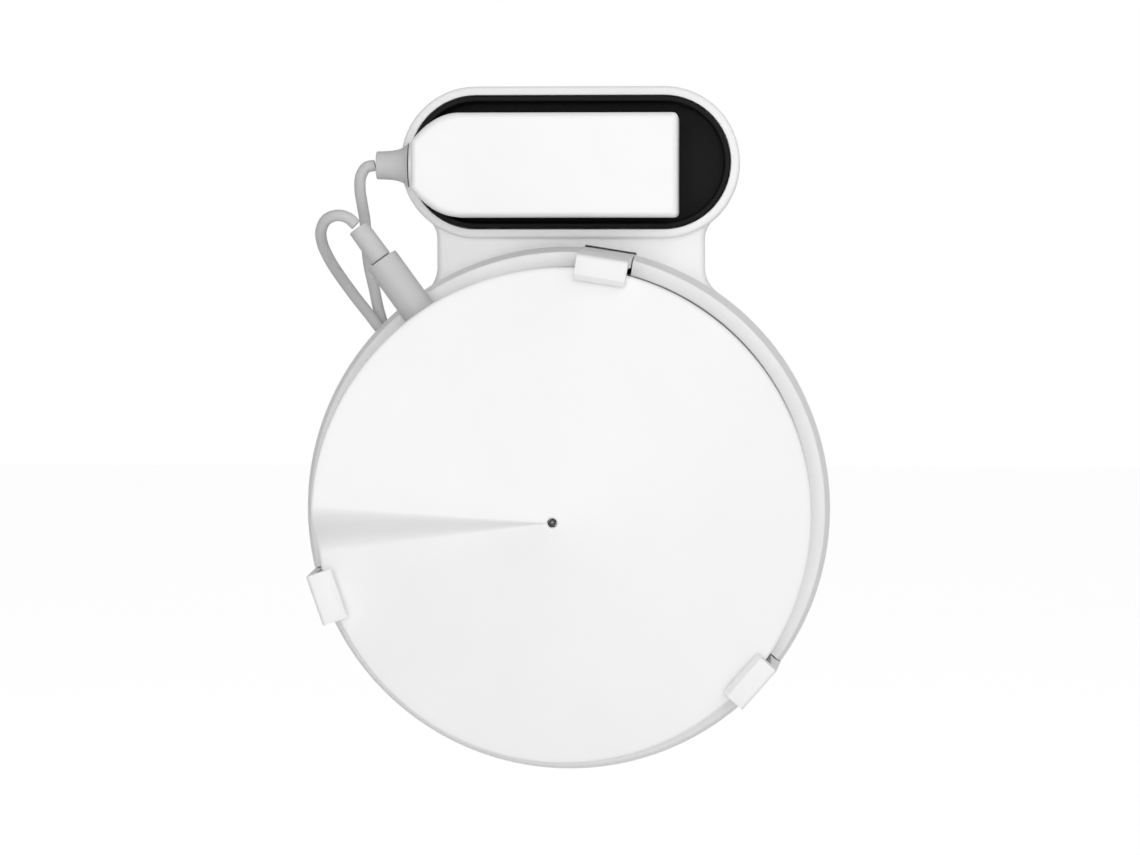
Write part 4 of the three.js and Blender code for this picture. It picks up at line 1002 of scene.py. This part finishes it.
def adapter_end():
    """The collar on the nose, and the flared boot that the lead comes out of."""
    flange_low, flange_high = seen("adapter_flange")
    r = (flange_high.y - flange_low.y) / 2
    ring = [(0, 0), (r - 0.2, 0), (r, 0.2), (r, 0.7), (r - 0.3, 1), (0, 1)]
    piece(build("adapter_collar", along_lead(ring, flange_high.x)), ADAPTER, "adapter", "adapter_white",
          "adapter_flange")
    base, tip, long = 5.5, 3.45, BOOT_HIGH.x - BOOT_LOW.x
    edge, flare_l, steps = 0.1, 1.7, 16
    profile = [(0, 0), (base - edge, 0), (base, edge)]
    for i in range(1, steps + 1):
        d = edge + (long - 0.5) * i / steps
        profile.append((tip + (base - tip) * math.exp(-(d - edge) / flare_l), d))
    profile += arc(tip - 0.3, long - 0.3, 0.3, 10, 90, 4)
    profile += [(CORD_HOLE_R + 0.15, long), (CORD_HOLE_R, long - 0.2), (CORD_HOLE_R, long - CORD_HOLE_DEPTH),
                (0, long - CORD_HOLE_DEPTH)]
    piece(build("adapter_boot", along_lead(profile, BOOT_HIGH.x)), LEAD, "adapter", "cord_grey",
          "adapter_strain_relief")


adapter_front()
adapter_rear()
for blade_side, blade_x in zip(("left", "right"), BLADES):
    blade(blade_side, blade_x)
adapter_end()
finish_inner()


# ---------- floor, lamps and world ----------
WHITE = (1, 1, 1, 1)
AMBIENT = 0.28
FLOOR_GLOW = 0.68
FLOOR_DROP = 0.3
FLOOR_HALF = 6.0
LAMP_TARGET = (0, 0, 0.02)


def is_seen(nodes, links):
    """1 for rays from the camera and in reflections, 0 for the rays that light the object."""
    path = nodes.new("ShaderNodeLightPath")
    first = nodes.new("ShaderNodeMath")
    first.operation = "MAXIMUM"
    links.new(path.outputs["Is Camera Ray"], first.inputs[0])
    links.new(path.outputs["Is Glossy Ray"], first.inputs[1])
    both = nodes.new("ShaderNodeMath")
    both.operation = "MAXIMUM"
    links.new(first.outputs[0], both.inputs[0])
    links.new(path.outputs["Is Transmission Ray"], both.inputs[1])
    return both.outputs[0]


def world_light():
    """A white backdrop for the camera, and a dim even light on the object."""
    sky = bpy.data.worlds.new("studio")
    sky.use_nodes = True
    bpy.context.scene.world = sky
    nodes, links = sky.node_tree.nodes, sky.node_tree.links
    ambient = nodes["Background"]
    ambient.inputs["Color"].default_value = WHITE
    ambient.inputs["Strength"].default_value = AMBIENT
    backdrop = nodes.new("ShaderNodeBackground")
    backdrop.inputs["Color"].default_value = WHITE
    backdrop.inputs["Strength"].default_value = 1.0
    mix = nodes.new("ShaderNodeMixShader")
    links.new(is_seen(nodes, links), mix.inputs["Fac"])
    links.new(ambient.outputs[0], mix.inputs[1])
    links.new(backdrop.outputs[0], mix.inputs[2])
    links.new(mix.outputs[0], nodes["World Output"].inputs["Surface"])


def floor():
    """A pale plane below the holder, light enough to meet the backdrop and still take its shadow."""
    mesh = bpy.data.meshes.new("floor")
    low = CAD_BOX[0][2] - FLOOR_DROP
    half = FLOOR_HALF
    corners = [(-half, -half, low), (half, -half, low), (half, half, low), (-half, half, low)]
    mesh.from_pydata(corners, [], [(0, 1, 2, 3)])
    obj = bpy.data.objects.new("floor", mesh)
    bpy.context.scene.collection.objects.link(obj)
    material = bpy.data.materials.new("floor")
    material.use_nodes = True
    nodes, links = material.node_tree.nodes, material.node_tree.links
    shader = nodes["Principled BSDF"]
    shader.inputs["Roughness"].default_value = 0.9
    shader.inputs["Specular IOR Level"].default_value = 0.1
    place = nodes.new("ShaderNodeTexCoord")
    drift = nodes.new("ShaderNodeTexNoise")
    drift.inputs["Scale"].default_value = 3.0
    tint = nodes.new("ShaderNodeValToRGB")
    tint.color_ramp.elements[0].color = (*grey(250), 1)
    tint.color_ramp.elements[1].color = (*grey(252), 1)
    links.new(place.outputs["Object"], drift.inputs["Vector"])
    links.new(drift.outputs["Fac"], tint.inputs["Fac"])
    links.new(tint.outputs["Color"], shader.inputs["Base Color"])
    glow = nodes.new("ShaderNodeEmission")
    glow.inputs["Color"].default_value = WHITE
    lift = nodes.new("ShaderNodeMath")
    lift.operation = "MULTIPLY"
    lift.inputs[1].default_value = FLOOR_GLOW
    links.new(is_seen(nodes, links), lift.inputs[0])
    links.new(lift.outputs[0], glow.inputs["Strength"])
    both = nodes.new("ShaderNodeAddShader")
    links.new(shader.outputs[0], both.inputs[0])
    links.new(glow.outputs[0], both.inputs[1])
    links.new(both.outputs[0], nodes["Material Output"].inputs["Surface"])
    mesh.materials.append(material)


def lamp(name, at, size, power):
    """A square lamp that faces the object."""
    data = bpy.data.lights.new(name, "AREA")
    data.shape = "SQUARE"
    data.size = size
    data.energy = power
    obj = bpy.data.objects.new(name, data)
    bpy.context.scene.collection.objects.link(obj)
    obj.location = at
    obj.rotation_mode = "QUATERNION"
    obj.rotation_quaternion = (Vector(LAMP_TARGET) - Vector(at)).to_track_quat("-Z", "Y")


floor()
world_light()
lamp("key", at=(0.9, -1.3, 1.0), size=2.0, power=11)
lamp("front", at=(-0.05, -1.8, 0.15), size=0.9, power=12.2)
bpy.context.scene.view_settings.view_transform = "Standard"
